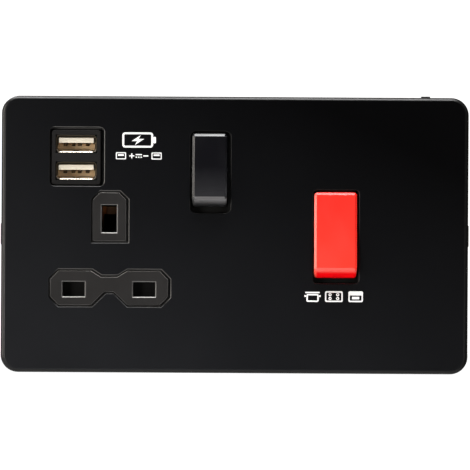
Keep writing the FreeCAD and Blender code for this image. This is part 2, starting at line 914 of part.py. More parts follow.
def terminal_cage(spots, far_z, side):
    """A brass terminal block with a square cable tunnel and a screw hole from behind for each spot."""
    half = terminal_width / 2
    low = min(far_z, far_z - side * terminal_height)
    high = low + terminal_height
    back = deck_y + terminal_depth
    block = slab(min(spots) - half, max(spots) + half, deck_y, back, low, high)
    cuts = []
    for x in spots:
        reach = terminal_tunnel / 2
        tunnel_y = deck_y + terminal_floor
        cuts.append(slab(x - reach, x + reach, tunnel_y, tunnel_y + terminal_tunnel, low - 1, high + 1))
        hole = terminal_screw_radius + terminal_screw_gap
        cuts.append(hidden_rod(x, tunnel_y + terminal_tunnel - 0.5, (low + high) / 2, 5, hole))
    return block.cut(cuts)


def terminal_screw(x, z):
    """A grub screw, run in to the edge of the cable tunnel."""
    start = deck_y + terminal_floor + terminal_tunnel
    return hidden_rod(x, start, z, terminal_screw_length, terminal_screw_radius)


def cooker_terminal_spots():
    """Place and cable side of the four cooker terminals: supply above, load below."""
    left = cooker_switch_x - terminal_offset
    right = cooker_switch_x + terminal_offset
    return {
        "supply_live_terminal": (left, terminal_far_z, 1),
        "supply_neutral_terminal": (right, terminal_far_z, 1),
        "load_live_terminal": (left, -terminal_far_z, -1),
        "load_neutral_terminal": (right, -terminal_far_z, -1),
    }


def earth_terminal():
    """The earth terminal bar: one brass block with two cable tunnels."""
    return terminal_cage(earth_terminal_x, earth_terminal_top - terminal_height, -1)


def terminal_screws():
    """All the clamping screws of the terminals."""
    half = terminal_height / 2
    screws = [terminal_screw(x, far_z - side * half) for x, far_z, side in cooker_terminal_spots().values()]
    screws += [terminal_screw(x, earth_terminal_top - half) for x in earth_terminal_x]
    return group(screws)


def housing_screws():
    """The screws that run from behind through each base into the moulding in front of it."""
    seat = deck_y + base_floor
    screws = []
    for x, z in socket_posts + cooker_posts:
        head = hidden_rod(x, seat, z, screw_head_height, screw_head_radius)
        shank = hidden_rod(x, screw_tip_y, z, seat - screw_tip_y, screw_radius)
        screws.append(join(head, shank))
    return group(screws)


def base_posts(spots):
    """The square screw posts inside a base, and the holes to cut through them."""
    posts = [panel(x, z, 2 * post_half, 2 * post_half, flange, deck_y + 0.5) for x, z in spots]
    hole = screw_radius + screw_hole_gap
    holes = [hidden_rod(x, flange - 1, z, deck_y + base_floor, hole) for x, z in spots]
    return posts, holes


def terminal_pocket(x0, x1, z0, z1):
    """Room for terminal blocks, open to the back."""
    gap = terminal_pocket_fit
    return slab(x0 - gap, x1 + gap, deck_y - 0.5, terminal_back + 1, z0 - gap, z1 + gap)


def socket_base():
    """The socket's rear moulding: a tray with screw posts, barriers and the earth terminals' shroud."""
    body = prism(socket_base_outline, flange, deck_y + base_floor)
    left = earth_terminal_x[0] - terminal_width / 2
    right = earth_terminal_x[1] + terminal_width / 2
    low = earth_terminal_top - terminal_height
    shroud = slab(left - 2, right + 2, deck_y, terminal_back, socket_base_bottom, earth_terminal_top + 2)
    body = join(body, shroud)
    body = body.cut(prism(socket_base_outline, flange - 1, deck_y, base_wall))
    posts, holes = base_posts(socket_posts)
    barriers = join(*shutter_rails(), *contact_walls())
    ways = []
    for x0, x1, z0, z1 in live_runs() + neutral_runs() + earth_runs():
        gap = strip_way_gap
        ways.append(slab(x0 - gap, x1 + gap, strip_front - gap, deck_y, z0 - gap, z1 + gap))
    body = join(body, *posts, barriers.cut(ways))
    cuts = holes + [terminal_pocket(left, right, low, earth_terminal_top)]
    cuts += [cable_channel(x, socket_base_bottom - 1, low) for x in earth_terminal_x]
    cuts += link_ways(socket_base_right - base_wall - 1, socket_base_right + 1)
    cuts.append(lead_way(socket_base_step_z - base_wall - 1, socket_base_step_z + 1))
    return body.cut(cuts)


def shutter_rails():
    """The rails at both ends of the shutter, each with a ledge behind it."""
    top = line_row_z + 5.0
    bottom = line_row_z - 10.0
    rails = []
    for side in (-1, 1):
        inner = socket_x + side * (shutter_half_width + shutter_rail_gap)
        outer = inner + side * shutter_rail_wall
        ledge = socket_x + side * (shutter_half_width - 0.6)
        ledge_y = shutter_front + shutter_thickness + shutter_rail_gap
        rails.append(slab(min(inner, outer), max(inner, outer), shutter_front, deck_y + 0.5, bottom, top))
        rails.append(slab(min(ledge, outer), max(ledge, outer), ledge_y, deck_y + 0.5, bottom, top))
    return rails


def contact_walls():
    """Insulating walls between the line contacts and the earth strip."""
    walls = []
    for side in (-1, 1):
        x = socket_x + side * (pin_pitch / 4)
        low, high = line_row_z - 6, line_row_z + 7
        walls.append(slab(x - 0.6, x + 0.6, line_fork_mouth + 3, deck_y + 0.5, low, high))
    return walls


def cable_channel(x, z0, z1):
    """A channel for one cable, open to the back."""
    y0 = deck_y + terminal_floor - 0.3
    return slab(x - cable_way / 2, x + cable_way / 2, y0, terminal_back + 1, min(z0, z1), max(z0, z1))


def link_ways(x0, x1):
    """Openings for the live and neutral links through the walls between the two bases."""
    live_z = socket_switch_z + contact_offset
    gap = strip_way_gap
    half = link_width / 2 + gap
    low = terminal_far_z + link_lift - gap
    return [
        slab(x0, x1, strip_front - gap, deck_y, live_z - half, live_z + half),
        slab(x0, x1, strip_front - gap, deck_y, low, low + link_width + 2 * gap),
    ]


def lead_way(z0, z1):
    """The opening for the charger's two leads, where they pass from its cover into the socket base."""
    half = lead_radius + 0.5
    return slab(lead_spots[1][0] - half, lead_spots[0][0] + half, lead_y - half, lead_y + half, z0, z1)


def switch_well(x, z, width, length):
    """The well that a rocker swings in, with bearings for its trunnions, and the room inside it."""
    wide = 2 * carrier_half_width(width)
    high = 2 * carrier_half_height(length)
    front = plate_back + 0.2
    walls = panel(x, z, wide, high, front, flange)
    cheek_half = trunnion_radius + carrier_wall + 0.6
    cheek_end = pivot_y + trunnion_radius + carrier_wall
    cheeks = panel(x, z, wide, 2 * cheek_half, flange - 0.5, cheek_end)
    room = panel(x, z, wide - 2 * carrier_wall, high - 2 * carrier_wall, front - 1, cheek_end + 1)
    bearing = rod(ALONG_X, x - wide, pivot_y, z, 2 * wide, trunnion_radius + running_fit)
    return [walls, cheeks], [room, bearing]


def aprons(x, z, width, length):
    """The two ledges that close a well's floor above and below its rocker's plungers."""
    half = carrier_half_width(width)
    end = carrier_half_height(length)
    below = slab(x - half, x + half, apron_front, flange, z - end, z - apron_edge)
    above = slab(x - half, x + half, apron_front, flange, z + apron_edge, z + end)
    return [below, above]


def socket_switch_carrier():
    """The moulding that carries the socket's rocker and closes the right half of the socket base."""
    lid = slab(socket_base_step_x, socket_base_right, 0, flange, socket_base_bottom, socket_base_top)
    solids, cuts = switch_well(socket_switch_x, socket_switch_z, socket_rocker_width, socket_rocker_length)
    posts = [spot for spot in socket_posts if spot[0] > socket_base_step_x]
    body = join(lid, *solids).cut(cuts + post_holes(posts))
    return join(body, *aprons(socket_switch_x, socket_switch_z, socket_rocker_width, socket_rocker_length))


def cooker_switch_carrier():
    """The moulding that carries the cooker rocker and closes the cooker switch's base."""
    x0 = cooker_switch_x - cooker_base_half_width
    x1 = cooker_switch_x + cooker_base_half_width
    lid = slab(x0, x1, 0, flange, -cooker_base_half_height, cooker_base_half_height)
    solids, cuts = switch_well(cooker_switch_x, cooker_switch_z, cooker_rocker_width, cooker_rocker_length)
    body = join(lid, *solids).cut(cuts + post_holes(cooker_posts))
    return join(body, *aprons(cooker_switch_x, cooker_switch_z, cooker_rocker_width, cooker_rocker_length))


def cooker_switch_base():
    """The cooker switch's rear moulding, with a pocket open to the back for each terminal."""
    x = cooker_switch_x
    width = 2 * cooker_base_half_width
    height = 2 * cooker_base_half_height
    body = panel(x, 0, width, height, flange, terminal_back)
    body = body.cut(panel(x, 0, width - 2 * base_wall, height - 2 * base_wall, flange - 1, deck_y))
    posts, holes = base_posts(cooker_posts)
    barrier = slab(x - 0.4, x + 0.4, blade_y - 3, deck_y + 0.5, -14, 14)
    body = join(body, *posts, barrier)
    middle = 2 * (terminal_far_z - terminal_height - 2.0)
    cuts = holes + [panel(x, 0, width + 2, middle, deck_y + base_floor, terminal_back + 1)]
    for spot_x, far_z, side in cooker_terminal_spots().values():
        near_z = far_z - side * terminal_height
        half = terminal_width / 2
        cuts.append(terminal_pocket(spot_x - half, spot_x + half, min(near_z, far_z), max(near_z, far_z)))
        cuts.append(cable_channel(spot_x, far_z - side, side * (cooker_base_half_height + 1)))
    for px, pz in cooker_posts:
        cuts.append(panel(px, pz, 6.4, 6.4, deck_y + base_floor, terminal_back + 1))
    cuts += link_ways(x - width / 2 - 1, x - width / 2 + base_wall + 1)
    return body.cut(cuts)


def rocker(x, z, width, length, pole_offset):
    """A rocker in its off position: dished face, drafted ends, ears, trunnions and two plunger bores."""
    face = rocker_face
    base = face + rocker_skirt
    flare = rocker_flare
    half = length / 2
    left = x - width / 2
    corners = [(face, -half), (base, -half - flare), (base, half + flare), (face, half)]
    points = [Vector(left, y, z + a) for y, a in corners]
    middle = Vector(left, face + rocker_dish, z)
    edges = [Part.makeLine(points[i], points[i + 1]) for i in range(3)]
    edges.append(Part.Arc(points[3], middle, points[0]).toShape())
    body = Part.Face(Part.Wire(edges)).extrude(Vector(width, 0, 0))
    tall = [e for e in body.Edges if e.BoundBox.YLength > rocker_skirt - 1]
    body = body.makeFillet(rocker_corner, tall)
    front = [e for e in body.Edges if e.BoundBox.YMax < face + rocker_dish + 0.2]
    body = body.makeChamfer(rocker_edge, front)
    inner = half - rocker_wall
    top = face + rocker_dish + rocker_wall
    wide = inner + flare
    hollow = ((top, z - inner), (base + 1, z - wide), (base + 1, z + wide), (top, z + inner))
    body = body.cut(side_prism(hollow, left + rocker_wall, left + width - rocker_wall))
    extras = []
    for side in (-1, 1):
        outer = x + side * width / 2
        inside = outer - side * rocker_wall
        tip = outer + side * trunnion_length
        ear = (
            (base - 1, z - ear_half_root), (pivot_y, z - ear_radius), (pivot_y, z + ear_radius),
            (base - 1, z + ear_half_root),
        )
        near = min(inside, outer)
        extras.append(side_prism(ear, near, near + rocker_wall))
        extras.append(rod(ALONG_X, near, pivot_y, z, rocker_wall, ear_radius))
        span = rocker_wall + trunnion_length
        extras.append(rod(ALONG_X, min(inside, tip), pivot_y, z, span, trunnion_radius))
    reach = plunger_radius + tube_wall
    tower = panel(x, z, 2 * (pole_offset + reach), 2 * reach, top - 0.5, pivot_y + tower_end)
    body = join(body, tower, *extras)
    seat = pivot_y - spring_seat
    depth = spring_seat + tower_end + 1
    for side in (-1, 1):
        bore = hidden_rod(x + side * pole_offset, seat, z, depth, plunger_radius + running_fit)
        body = body.cut(bore)
    return lean(body, z)


def lean(piece, z):
    """Turns a piece of a rocker from its middle to its off position."""
    piece.rotate(Vector(0, pivot_y, z), ALONG_X, -half_swing)
    return piece


def plungers(x, z, pole_offset):
    """The two plungers that a rocker pushes along its blades."""
    length = plunger_back + plunger_reach
    start = pivot_y - plunger_back
    pair = [hidden_rod(x + side * pole_offset, start, z, length, plunger_radius) for side in (-1, 1)]
    return lean(group(pair), z)


def plunger_springs(x, z, pole_offset):
    """The springs behind the plungers, inside the rocker's two bores."""
    pieces = []
    length = spring_seat - plunger_back - 0.1
    for side in (-1, 1):
        spring = coil(plunger_radius - 0.35, 0.35, length, 3)
        spring.rotate(Vector(0, 0, 0), ALONG_X, -90)
        spring.translate(Vector(x + side * pole_offset, pivot_y - spring_seat + 0.05, z))
        pieces.append(spring)
    return lean(group(pieces), z)


def usb_insert():
    """The charging insert: the face that shows, and the flange that closes the module."""
    front = plate_front + usb_recess
    face = panel(usb_x, usb_z, usb_width, usb_height, front, 0.5, usb_corner)
    edges = [e for e in face.Edges if e.BoundBox.YMax < front + 0.01]
    face = face.makeChamfer(0.3, edges)
    stem = panel(usb_x, usb_z, usb_width - 2 * usb_stem_step, usb_height - 2 * usb_stem_step, 0, usb_depth)
    lid = slab(usb_cover_left, usb_cover_right, 0, usb_flange, usb_cover_bottom, usb_cover_top)
    body = join(face, stem, lid)
    cuts = []
    for z in port_levels():
        wide = port_width + 2 * port_fit
        high = port_height + 2 * port_fit
        cuts.append(panel(usb_x, z, wide, high, front - 1, usb_depth + 1))
    return body.cut(cuts)


def port_levels():
    """Heights of the upper and the lower port."""
    return (usb_z + usb_pitch / 2, usb_z - usb_pitch / 2)


def port_front():
    """Front end of the ports' metal shells."""
    return plate_front + usb_recess + port_inset


def port_shell(z):
    """The folded metal shell of one port."""
    y0 = port_front()
    outer = panel(usb_x, z, port_width, port_height, y0, y0 + port_length, 0.5)
    wide = port_width - 2 * port_wall
    high = port_height - 2 * port_wall
    return outer.cut(panel(usb_x, z, wide, high, y0 - 1, y0 + port_length + 1))


def port_tongue(z):
    """The moulded tongue of one port, with its block at the back of the shell."""
    y0 = port_front()
    top = z + port_height / 2 - port_wall - tongue_drop
    end = y0 + port_length
    middle = top - tongue_thickness / 2
    tongue = panel(usb_x, middle, tongue_width, tongue_thickness, y0 + tongue_inset, end)
    wide = port_width - 2 * port_wall - 2 * port_fit
    high = port_height - 2 * port_wall - 2 * port_fit
    block = panel(usb_x, z, wide, high, end - port_block_length, board_y)
    return join(tongue, block)


def port_pins(z):
    """The four sprung contacts under one port's tongue, through its block to the board."""
    y0 = port_front()
    under = z + port_height / 2 - port_wall - tongue_drop - tongue_thickness - port_pin_thickness / 2 - 0.02
    line = (
        (y0 + tongue_inset + 0.4, under),
        (y0 + 2.2, under - port_pin_bulge), (y0 + 3.4, under - port_pin_bulge),
        (y0 + 5.6, under), (y0 + port_length - port_block_length - 0.1, under),
    )
    points = band(line, port_pin_thickness)
    half = port_pin_width / 2
    return group(side_prism(points, usb_x + a - half, usb_x + a + half) for a in port_pin_spots)


def usb_board():
    """The charger's circuit board, across the module behind the ports."""
    gap = board_gap + usb_cover_wall
    x = (usb_cover_left + usb_cover_right) / 2
    z = (usb_cover_bottom + usb_cover_top) / 2
    wide = usb_cover_right - usb_cover_left - 2 * gap
    high = usb_cover_top - usb_cover_bottom - 2 * gap
    return panel(x, z, wide, high, board_y, board_y + board_thickness)


def usb_rear_cover():
    """The tray behind the charger, with a ledge that the board rests on and vent slots."""
    x = (usb_cover_left + usb_cover_right) / 2
    z = (usb_cover_bottom + usb_cover_top) / 2
    wide = usb_cover_right - usb_cover_left
    high = usb_cover_top - usb_cover_bottom
    wall = 2 * usb_cover_wall
    ledge = wall + 2 * board_ledge
    body = panel(x, z, wide, high, usb_flange, usb_cover_back)
    room = panel(x, z, wide - wall, high - wall, usb_flange - 1, board_y + board_thickness)
    deep = panel(x, z, wide - ledge, high - ledge, usb_flange, usb_cover_back - usb_cover_wall)
    vents = []
    for i in range(vent_count):
        vent_x = vent_first_x + i * vent_pitch
        vents.append(panel(vent_x, z, vent_width, vent_height, usb_cover_back - 3, usb_cover_back + 1))
    return body.cut([room, deep, lead_way(usb_cover_bottom - 1, usb_cover_bottom + wall)] + vents)


def usb_transformer():
    """The charger's transformer: a wound bobbin in a square core."""
    y0 = board_y + board_thickness
    core = panel(transformer_x, usb_z, core_width, core_height, y0 + core_front, y0 + core_back)
    front, back = y0 + winding_front, y0 + winding_back
    window = panel(transformer_x, usb_z, window_width, 2 * core_height, front, back)
    winding = panel(transformer_x, usb_z, winding_width, winding_height, front, back)
    foot = panel(transformer_x, usb_z, foot_width, core_height, y0, y0 + foot_depth)
    bobbin = panel(transformer_x, usb_z, bobbin_width, bobbin_height, y0 + bobbin_front, y0 + bobbin_back)
    return join(core.cut(window), winding, foot, bobbin)


def usb_capacitor():
    """The can capacitor that stands on the board."""
    y0 = board_y + board_thickness
    return hidden_rod(capacitor_x, y0, usb_z, capacitor_length, capacitor_radius)


def usb_chip():
    """The charger's control chip, on the front of the board."""
    return panel(chip_x, usb_z, chip_width, chip_height, board_y - chip_thickness, board_y)


def bent_lead(points):
    """A lead of eight flats along straight runs with square bends."""
    path = Part.makePolygon([Vector(*p) for p in points])
    x, y, z = points[0]
    section = ring(x, y, z, lead_radius, lead_sides)
    return path.makePipeShell([section], True, False, 1)


def usb_leads():
    """The two leads from the board to the socket's live and neutral strips."""
    y0 = board_y + board_thickness
    ends = (socket_live_x, neutral_lead_end)
    leads = []
    for (x, z), end in zip(lead_spots, ends):
        leads.append(bent_lead((
            (x, y0, lead_start_z), (x, lead_y, lead_start_z), (x, lead_y, z), (end, lead_y, z),
            (end, strip_front, z),
        )))
    return group(leads)


def plate_earth_spring():
    """The bent leaf on the frame's web that earths the metal plate."""
    web = -frame_web - leaf_thickness / 2
    crest = plate_back + leaf_thickness / 2 + 0.05
    line = ((56.0, web), (60.0, web), (65.0, crest), (67.5, crest + 0.6))
    return top_prism(band(line, leaf_thickness), leaf_z - leaf_half_width, leaf_z + leaf_half_width)


def build():
    """Every piece of the unit by name."""
    pieces = {
        "front_plate": front_plate(),
        "mounting_frame": mounting_frame(),
        "fixing_screws": fixing_screws(),
        "plate_earth_spring": plate_earth_spring(),
        "socket_cover": socket_cover(),
        "socket_base": socket_base(),
        "shutter": shutter(),
        "shutter_spring": shutter_spring(),
        "earth_contact": earth_contact(),
        "live_contact": live_contact(),
        "neutral_contact": neutral_contact(),
        "earth_terminal": earth_terminal(),
        "live_link": live_link(),
        "neutral_link": neutral_link(),
        "socket_switch_carrier": socket_switch_carrier(),
        "cooker_switch_carrier": cooker_switch_carrier(),
        "cooker_switch_base": cooker_switch_base(),
        "terminal_screws": terminal_screws(),
        "housing_screws": housing_screws(),
        "supply_live_contact": supply_contact(cooker_live_x, -1),
        "supply_neutral_contact": supply_contact(cooker_neutral_x, 1),
        "load_live_contact": load_contact(cooker_live_x, -1),
        "load_neutral_contact": load_contact(cooker_neutral_x, 1),
        "usb_insert": usb_insert(),
        "usb_board": usb_board(),
        "usb_rear_cover": usb_rear_cover(),
        "usb_transformer": usb_transformer(),
        "usb_capacitor": usb_capacitor(),
        "usb_chip": usb_chip(),
        "usb_leads": usb_leads(),
    }
    for name, (x, far_z, side) in cooker_terminal_spots().items():
        pieces[name] = terminal_cage((x,), far_z, side)
    for level, z in zip(("upper", "lower"), port_levels()):
        pieces[f"{level}_port_shell"] = port_shell(z)
        pieces[f"{level}_port_tongue"] = port_tongue(z)
        pieces[f"{level}_port_pins"] = port_pins(z)
    switches = (
        ("socket", socket_switch_x, socket_switch_z, socket_rocker_width, socket_rocker_length,
         socket_pole_offset, socket_blade_width, socket_live_x, socket_neutral_x),
        ("cooker", cooker_switch_x, cooker_switch_z, cooker_rocker_width, cooker_rocker_length,
         cooker_pole_offset, cooker_blade_width, cooker_live_x, cooker_neutral_x),
    )
    for name, x, z, width, length, offset, blade_width, live, neutral in switches:
        pieces[f"{name}_rocker"] = rocker(x, z, width, length, offset)
        pieces[f"{name}_plungers"] = plungers(x, z, offset)
        pieces[f"{name}_plunger_springs"] = plunger_springs(x, z, offset)
        pieces[f"{name}_live_blade"] = blade(live, z, blade_width)
        pieces[f"{name}_neutral_blade"] = blade(neutral, z, blade_width)
    return pieces


def write(pieces):
    """One STEP file for each piece."""
    os.makedirs("parts", exist_ok=True)
    for name, shape in pieces.items():
        shape.exportStep(f"parts/{name}.step")
        state = "ok" if shape.isValid() else "NOT VALID"
        print(f"{name}: {len(shape.Solids)} solids, {shape.Volume:.0f} mm3, {state}")


write(build())
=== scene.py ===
# %% [markdown]
# The unit is a cooker switch, a switched socket outlet and two charging ports under one black
# metal plate. The frame gives every solid in metres: X to the right, Z up, the front towards -Y,
# and the wall's surface at y = 0. Everything below is dressed onto those solids.

# %% The frame and its box
import json
from math import cos, pi, radians, sin

import bmesh
import bpy
from mathutils import Matrix, Vector


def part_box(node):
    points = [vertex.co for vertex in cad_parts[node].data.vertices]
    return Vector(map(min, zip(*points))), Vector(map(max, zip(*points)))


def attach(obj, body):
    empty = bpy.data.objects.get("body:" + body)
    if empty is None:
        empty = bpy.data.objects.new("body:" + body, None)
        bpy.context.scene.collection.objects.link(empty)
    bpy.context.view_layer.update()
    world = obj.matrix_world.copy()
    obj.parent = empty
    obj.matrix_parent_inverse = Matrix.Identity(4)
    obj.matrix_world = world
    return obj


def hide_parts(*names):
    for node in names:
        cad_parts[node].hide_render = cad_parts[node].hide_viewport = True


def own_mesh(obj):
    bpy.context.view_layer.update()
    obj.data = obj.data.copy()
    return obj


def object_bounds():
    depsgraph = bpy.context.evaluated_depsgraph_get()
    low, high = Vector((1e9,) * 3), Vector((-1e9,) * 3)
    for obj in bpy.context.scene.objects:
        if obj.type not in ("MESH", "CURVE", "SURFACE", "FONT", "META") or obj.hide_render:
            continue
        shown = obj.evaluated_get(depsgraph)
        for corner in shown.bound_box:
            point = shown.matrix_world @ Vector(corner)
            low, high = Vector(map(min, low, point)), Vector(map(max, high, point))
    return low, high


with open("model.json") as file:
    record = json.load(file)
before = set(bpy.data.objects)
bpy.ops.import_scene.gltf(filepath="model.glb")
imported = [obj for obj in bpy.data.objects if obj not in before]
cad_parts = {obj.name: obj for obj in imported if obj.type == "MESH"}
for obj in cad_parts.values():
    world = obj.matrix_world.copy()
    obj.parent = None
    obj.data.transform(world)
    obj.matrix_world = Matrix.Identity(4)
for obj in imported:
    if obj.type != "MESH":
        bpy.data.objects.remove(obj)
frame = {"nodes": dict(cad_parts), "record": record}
cad_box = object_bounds()
bpy.context.scene.view_settings.view_transform = "Standard"
mm = 0.001
cad_low, cad_high = (Vector(corner) for corner in cad_box)
print("solids:", len(frame["nodes"]), "size in mm:", [round(v / mm, 1) for v in cad_high - cad_low])

# %% [markdown]
# Some steps return all through the script: an object is linked to the scene, a node is added with
# values or links on its inputs, and a value is carried from one range to another.

# %% Small helpers
def placed(name, data):
    """A new object of the scene for a camera, a lamp, a curve or a mesh."""
    thing = bpy.data.objects.new(name, data)
    bpy.context.scene.collection.objects.link(thing)
    return thing


def feed(tree, value, socket):
    """Puts a value or a link into an input. A Number, which comes later, gives its socket."""
    value = getattr(value, "socket", value)
    if isinstance(value, bpy.types.NodeSocket):
        tree.links.new(value, socket)
    else:
        socket.default_value = value


def fill_in(tree, node, **inputs):
    """Values or links for a node's inputs, named with an underscore for each space."""
    for label, value in inputs.items():
        feed(tree, value, node.inputs[label.replace("_", " ")])
    return node


def add(tree, kind, settings=None, **inputs):
    """A new node with its settings and inputs."""
    node = tree.nodes.new(kind)
    for key, value in (settings or {}).items():
        setattr(node, key, value)
    return fill_in(tree, node, **inputs)


def arithmetic(tree, kind, *values):
    """One Math node on sockets or numbers."""
    node = add(tree, "ShaderNodeMath", {"operation": kind})
    for socket, value in zip(node.inputs, values):
        feed(tree, value, socket)
    return node.outputs[0]


def map_range(tree, value, before, after=(0.0, 1.0)):
    """A value carried from one range to another, and held at that range's ends."""
    node = add(tree, "ShaderNodeMapRange", Value=value, From_Min=before[0], From_Max=before[1],
               To_Min=after[0], To_Max=after[1])
    return node.outputs["Result"]


# %% [markdown]
# The photograph is taken from straight ahead with a long lens, so parallel edges stay parallel.
# A lens of 292 mm at 1.2 m gives the same look. The picture is 470 pixels wide and shows 147.8 mm,
# and the unit hangs turned by a third of a degree, which the camera's roll repeats.

# %% The camera
plate_front_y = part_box("front_plate")[0].y
view_x, view_width, view_distance = 0.1 * mm, 147.8 * mm, 1.2
roll = radians(-0.33)
camera_data = bpy.data.cameras.new("camera")
camera_data.sensor_width = 36.0
camera_data.lens = camera_data.sensor_width * view_distance / view_width
camera_data.clip_end = 50.0
camera = placed("camera", camera_data)
camera.location = (view_x, plate_front_y - view_distance, 0.0)
camera.rotation_euler = (radians(90), roll, 0)
bpy.context.scene.camera = camera
print("lens:", round(camera_data.lens, 1), "mm")

# %% [markdown]
# A black plate shows its lamps more than its colour: a lamp near the camera's line would wash it
# grey. So the lamps stand far round to the side, where only rounded edges throw their light at
# the camera. The large one above gives the pale line along every upper edge, the one on the left
# a grey line, and the one on the right is weak. Two small ones low in front, the left one
# stronger, reach into the charging ports from the side. One behind is for the other views.

# %% Soft boxes
def soft_box(name, place, aim, size, power, tint=(1.0, 1.0, 1.0)):
    """A rectangular lamp at a place, turned towards a point."""
    data = bpy.data.lights.new(name, "AREA")
    data.shape = "RECTANGLE"
    data.size, data.size_y = size
    data.energy = power
    data.color = tint
    lamp = placed(name, data)
    lamp.location = place
    lamp.rotation_euler = (Vector(aim) - Vector(place)).to_track_quat("-Z", "Y").to_euler()


middle, ports, rear = (0, 0, 0), (-0.03, 0, 0), (0, 0.02, 0)
soft_box("box_above", (-0.08, -0.24, 1.05), middle, (0.9, 0.6), 26)
soft_box("box_left", (-1.15, -0.36, 0.22), middle, (0.5, 0.7), 10, (1.0, 0.94, 0.86))
soft_box("box_low", (-0.54, -0.88, -0.02), ports, (0.3, 0.16), 4.2, (1.0, 0.95, 0.9))
soft_box("box_low_right", (0.5, -0.92, -0.02), ports, (0.3, 0.16), 1.7, (1.0, 0.93, 0.86))
soft_box("box_right", (1.1, 0.1, 0.5), middle, (0.4, 0.4), 1.3)
soft_box("box_behind", (-0.55, 0.95, 0.85), rear, (0.7, 0.7), 15)

# %% [markdown]
# The background is pure white in the photograph. More light would wash the object out, so the
# world and the floor turn white only for rays that come from the camera. Near the unit the floor
# glows less and is shaded by the lamps, so that the unit's shadow shows on it. Further out it is
# all white for the camera. To other rays only the floor under the unit is white paper, which
# lights the lower edges from below, while a white floor far in front would wash out the plate.

# %% World, floor and backdrop
world = bpy.data.worlds.new("studio")
bpy.context.scene.world = world
world.use_nodes = True
sky = world.node_tree
sky.nodes.clear()
rays = add(sky, "ShaderNodeLightPath")
fill = add(sky, "ShaderNodeBackground", Color=(0.9, 0.95, 1.0, 1), Strength=0.07)
white = add(sky, "ShaderNodeBackground", Color=(1, 1, 1, 1), Strength=1.0)
choose = add(sky, "ShaderNodeMixShader", Fac=rays.outputs["Is Camera Ray"])
sky.links.new(fill.outputs[0], choose.inputs[1])
sky.links.new(white.outputs[0], choose.inputs[2])
add(sky, "ShaderNodeOutputWorld", Surface=choose.outputs[0])


def stage_material(name, tones, whiteness=(1.0, 1.0), glow=(1.0, 1.0), shine=(0.3, 0.3),
                   near=0.16, far=0.4):
    """Pale paper, shaded like any surface. Its tone, glow and shine change with the distance."""
    material = bpy.data.materials.new(name)
    material.use_nodes = True
    tree = material.node_tree
    tree.nodes.clear()
    rays = add(tree, "ShaderNodeLightPath").outputs
    place = add(tree, "ShaderNodeTexCoord").outputs["Object"]
    grain = add(tree, "ShaderNodeTexNoise", Vector=place, Scale=60.0)
    tone = add(tree, "ShaderNodeValToRGB", Fac=grain.outputs["Fac"])
    for element, value in zip(tone.color_ramp.elements, tones):
        element.color = (value, value, value, 1)
    distance = add(tree, "ShaderNodeVectorMath", {"operation": "LENGTH"}, Vector=place)
    whiter, glowing, shining = (
        map_range(tree, distance.outputs["Value"], (near, far), ends) for ends in (whiteness, glow, shine))
    mirrored = arithmetic(tree, "MAXIMUM", rays["Is Glossy Ray"], rays["Is Transmission Ray"])
    for_camera = arithmetic(tree, "MULTIPLY", rays["Is Camera Ray"], glowing)
    for_mirrors = arithmetic(tree, "MULTIPLY", mirrored, shining)
    pool = add(tree, "ShaderNodeHueSaturation", Color=tone.outputs["Color"], Value=whiter)
    paper = add(tree, "ShaderNodeBsdfDiffuse", Color=pool.outputs["Color"])
    light = add(tree, "ShaderNodeEmission", Strength=arithmetic(tree, "ADD", for_camera, for_mirrors))
    both = add(tree, "ShaderNodeAddShader")
    tree.links.new(paper.outputs[0], both.inputs[0])
    tree.links.new(light.outputs[0], both.inputs[1])
    add(tree, "ShaderNodeOutputMaterial", Surface=both.outputs[0])
    return material


floor_z, wall_y, reach = -0.13, 3.0, 4


def stage_sheet(name, near_edge, far_edge, material):
    """One flat sheet of the studio between two edges, each given by its Y and Z."""
    mesh = bpy.data.meshes.new(name)
    ends = ((-reach, near_edge), (reach, near_edge), (reach, far_edge), (-reach, far_edge))
    mesh.from_pydata([(x, *edge) for x, edge in ends], [], [(0, 1, 2, 3)])
    mesh.materials.append(material)
    sheet = placed(name, mesh)


floor_paper = stage_material("floor_paper", tones=(0.82, 0.86), whiteness=(1.0, 0.2), glow=(0.45, 1.0),
                             shine=(0.12, 0.02), near=0.14, far=0.3)
wall_paper = stage_material("wall_paper", tones=(0.84, 0.88))
stage_sheet("floor", (-reach, floor_z), (wall_y, floor_z), floor_paper)
stage_sheet("backdrop", (wall_y, floor_z), (wall_y, reach), wall_paper)
print("floor at", floor_z, "m and backdrop at", wall_y, "m")

# %% [markdown]
# Four effects return in many finishes: the fine grain of a spark-eroded mould, the soft
# orange-peel of powder coat, the drawn lines of rolled strip, and the slight smears that
# handling leaves in a gloss. Each is a node group of its own with named inputs. A group
# gives out values only. The shader stays in the material, where the export can read it.

# %% Shared effects
def number_inputs(group, values):
    """A number input of a group for each name, with its default."""
    for label, value in values.items():
        socket = group.interface.new_socket(label, in_out="INPUT", socket_type="NodeSocketFloat")
        socket.default_value = value


def effect(name, inputs, outputs):
    """An empty shader group with named number inputs and outputs."""
    group = bpy.data.node_groups.new(name, "ShaderNodeTree")
    number_inputs(group, inputs)
    for label in outputs:
        group.interface.new_socket(label, in_out="OUTPUT", socket_type="NodeSocketFloat")
    return group, group.nodes.new("NodeGroupInput"), group.nodes.new("NodeGroupOutput")


def noise(tree, scale, detail, stretch=None):
    """Noise over object coordinates, drawn out along an axis where a stretch is given."""
    place = add(tree, "ShaderNodeTexCoord").outputs["Object"]
    if stretch:
        place = add(tree, "ShaderNodeMapping", Vector=place, Scale=stretch).outputs["Vector"]
    return add(tree, "ShaderNodeTexNoise", Vector=place, Scale=scale, Detail=detail).outputs["Fac"]


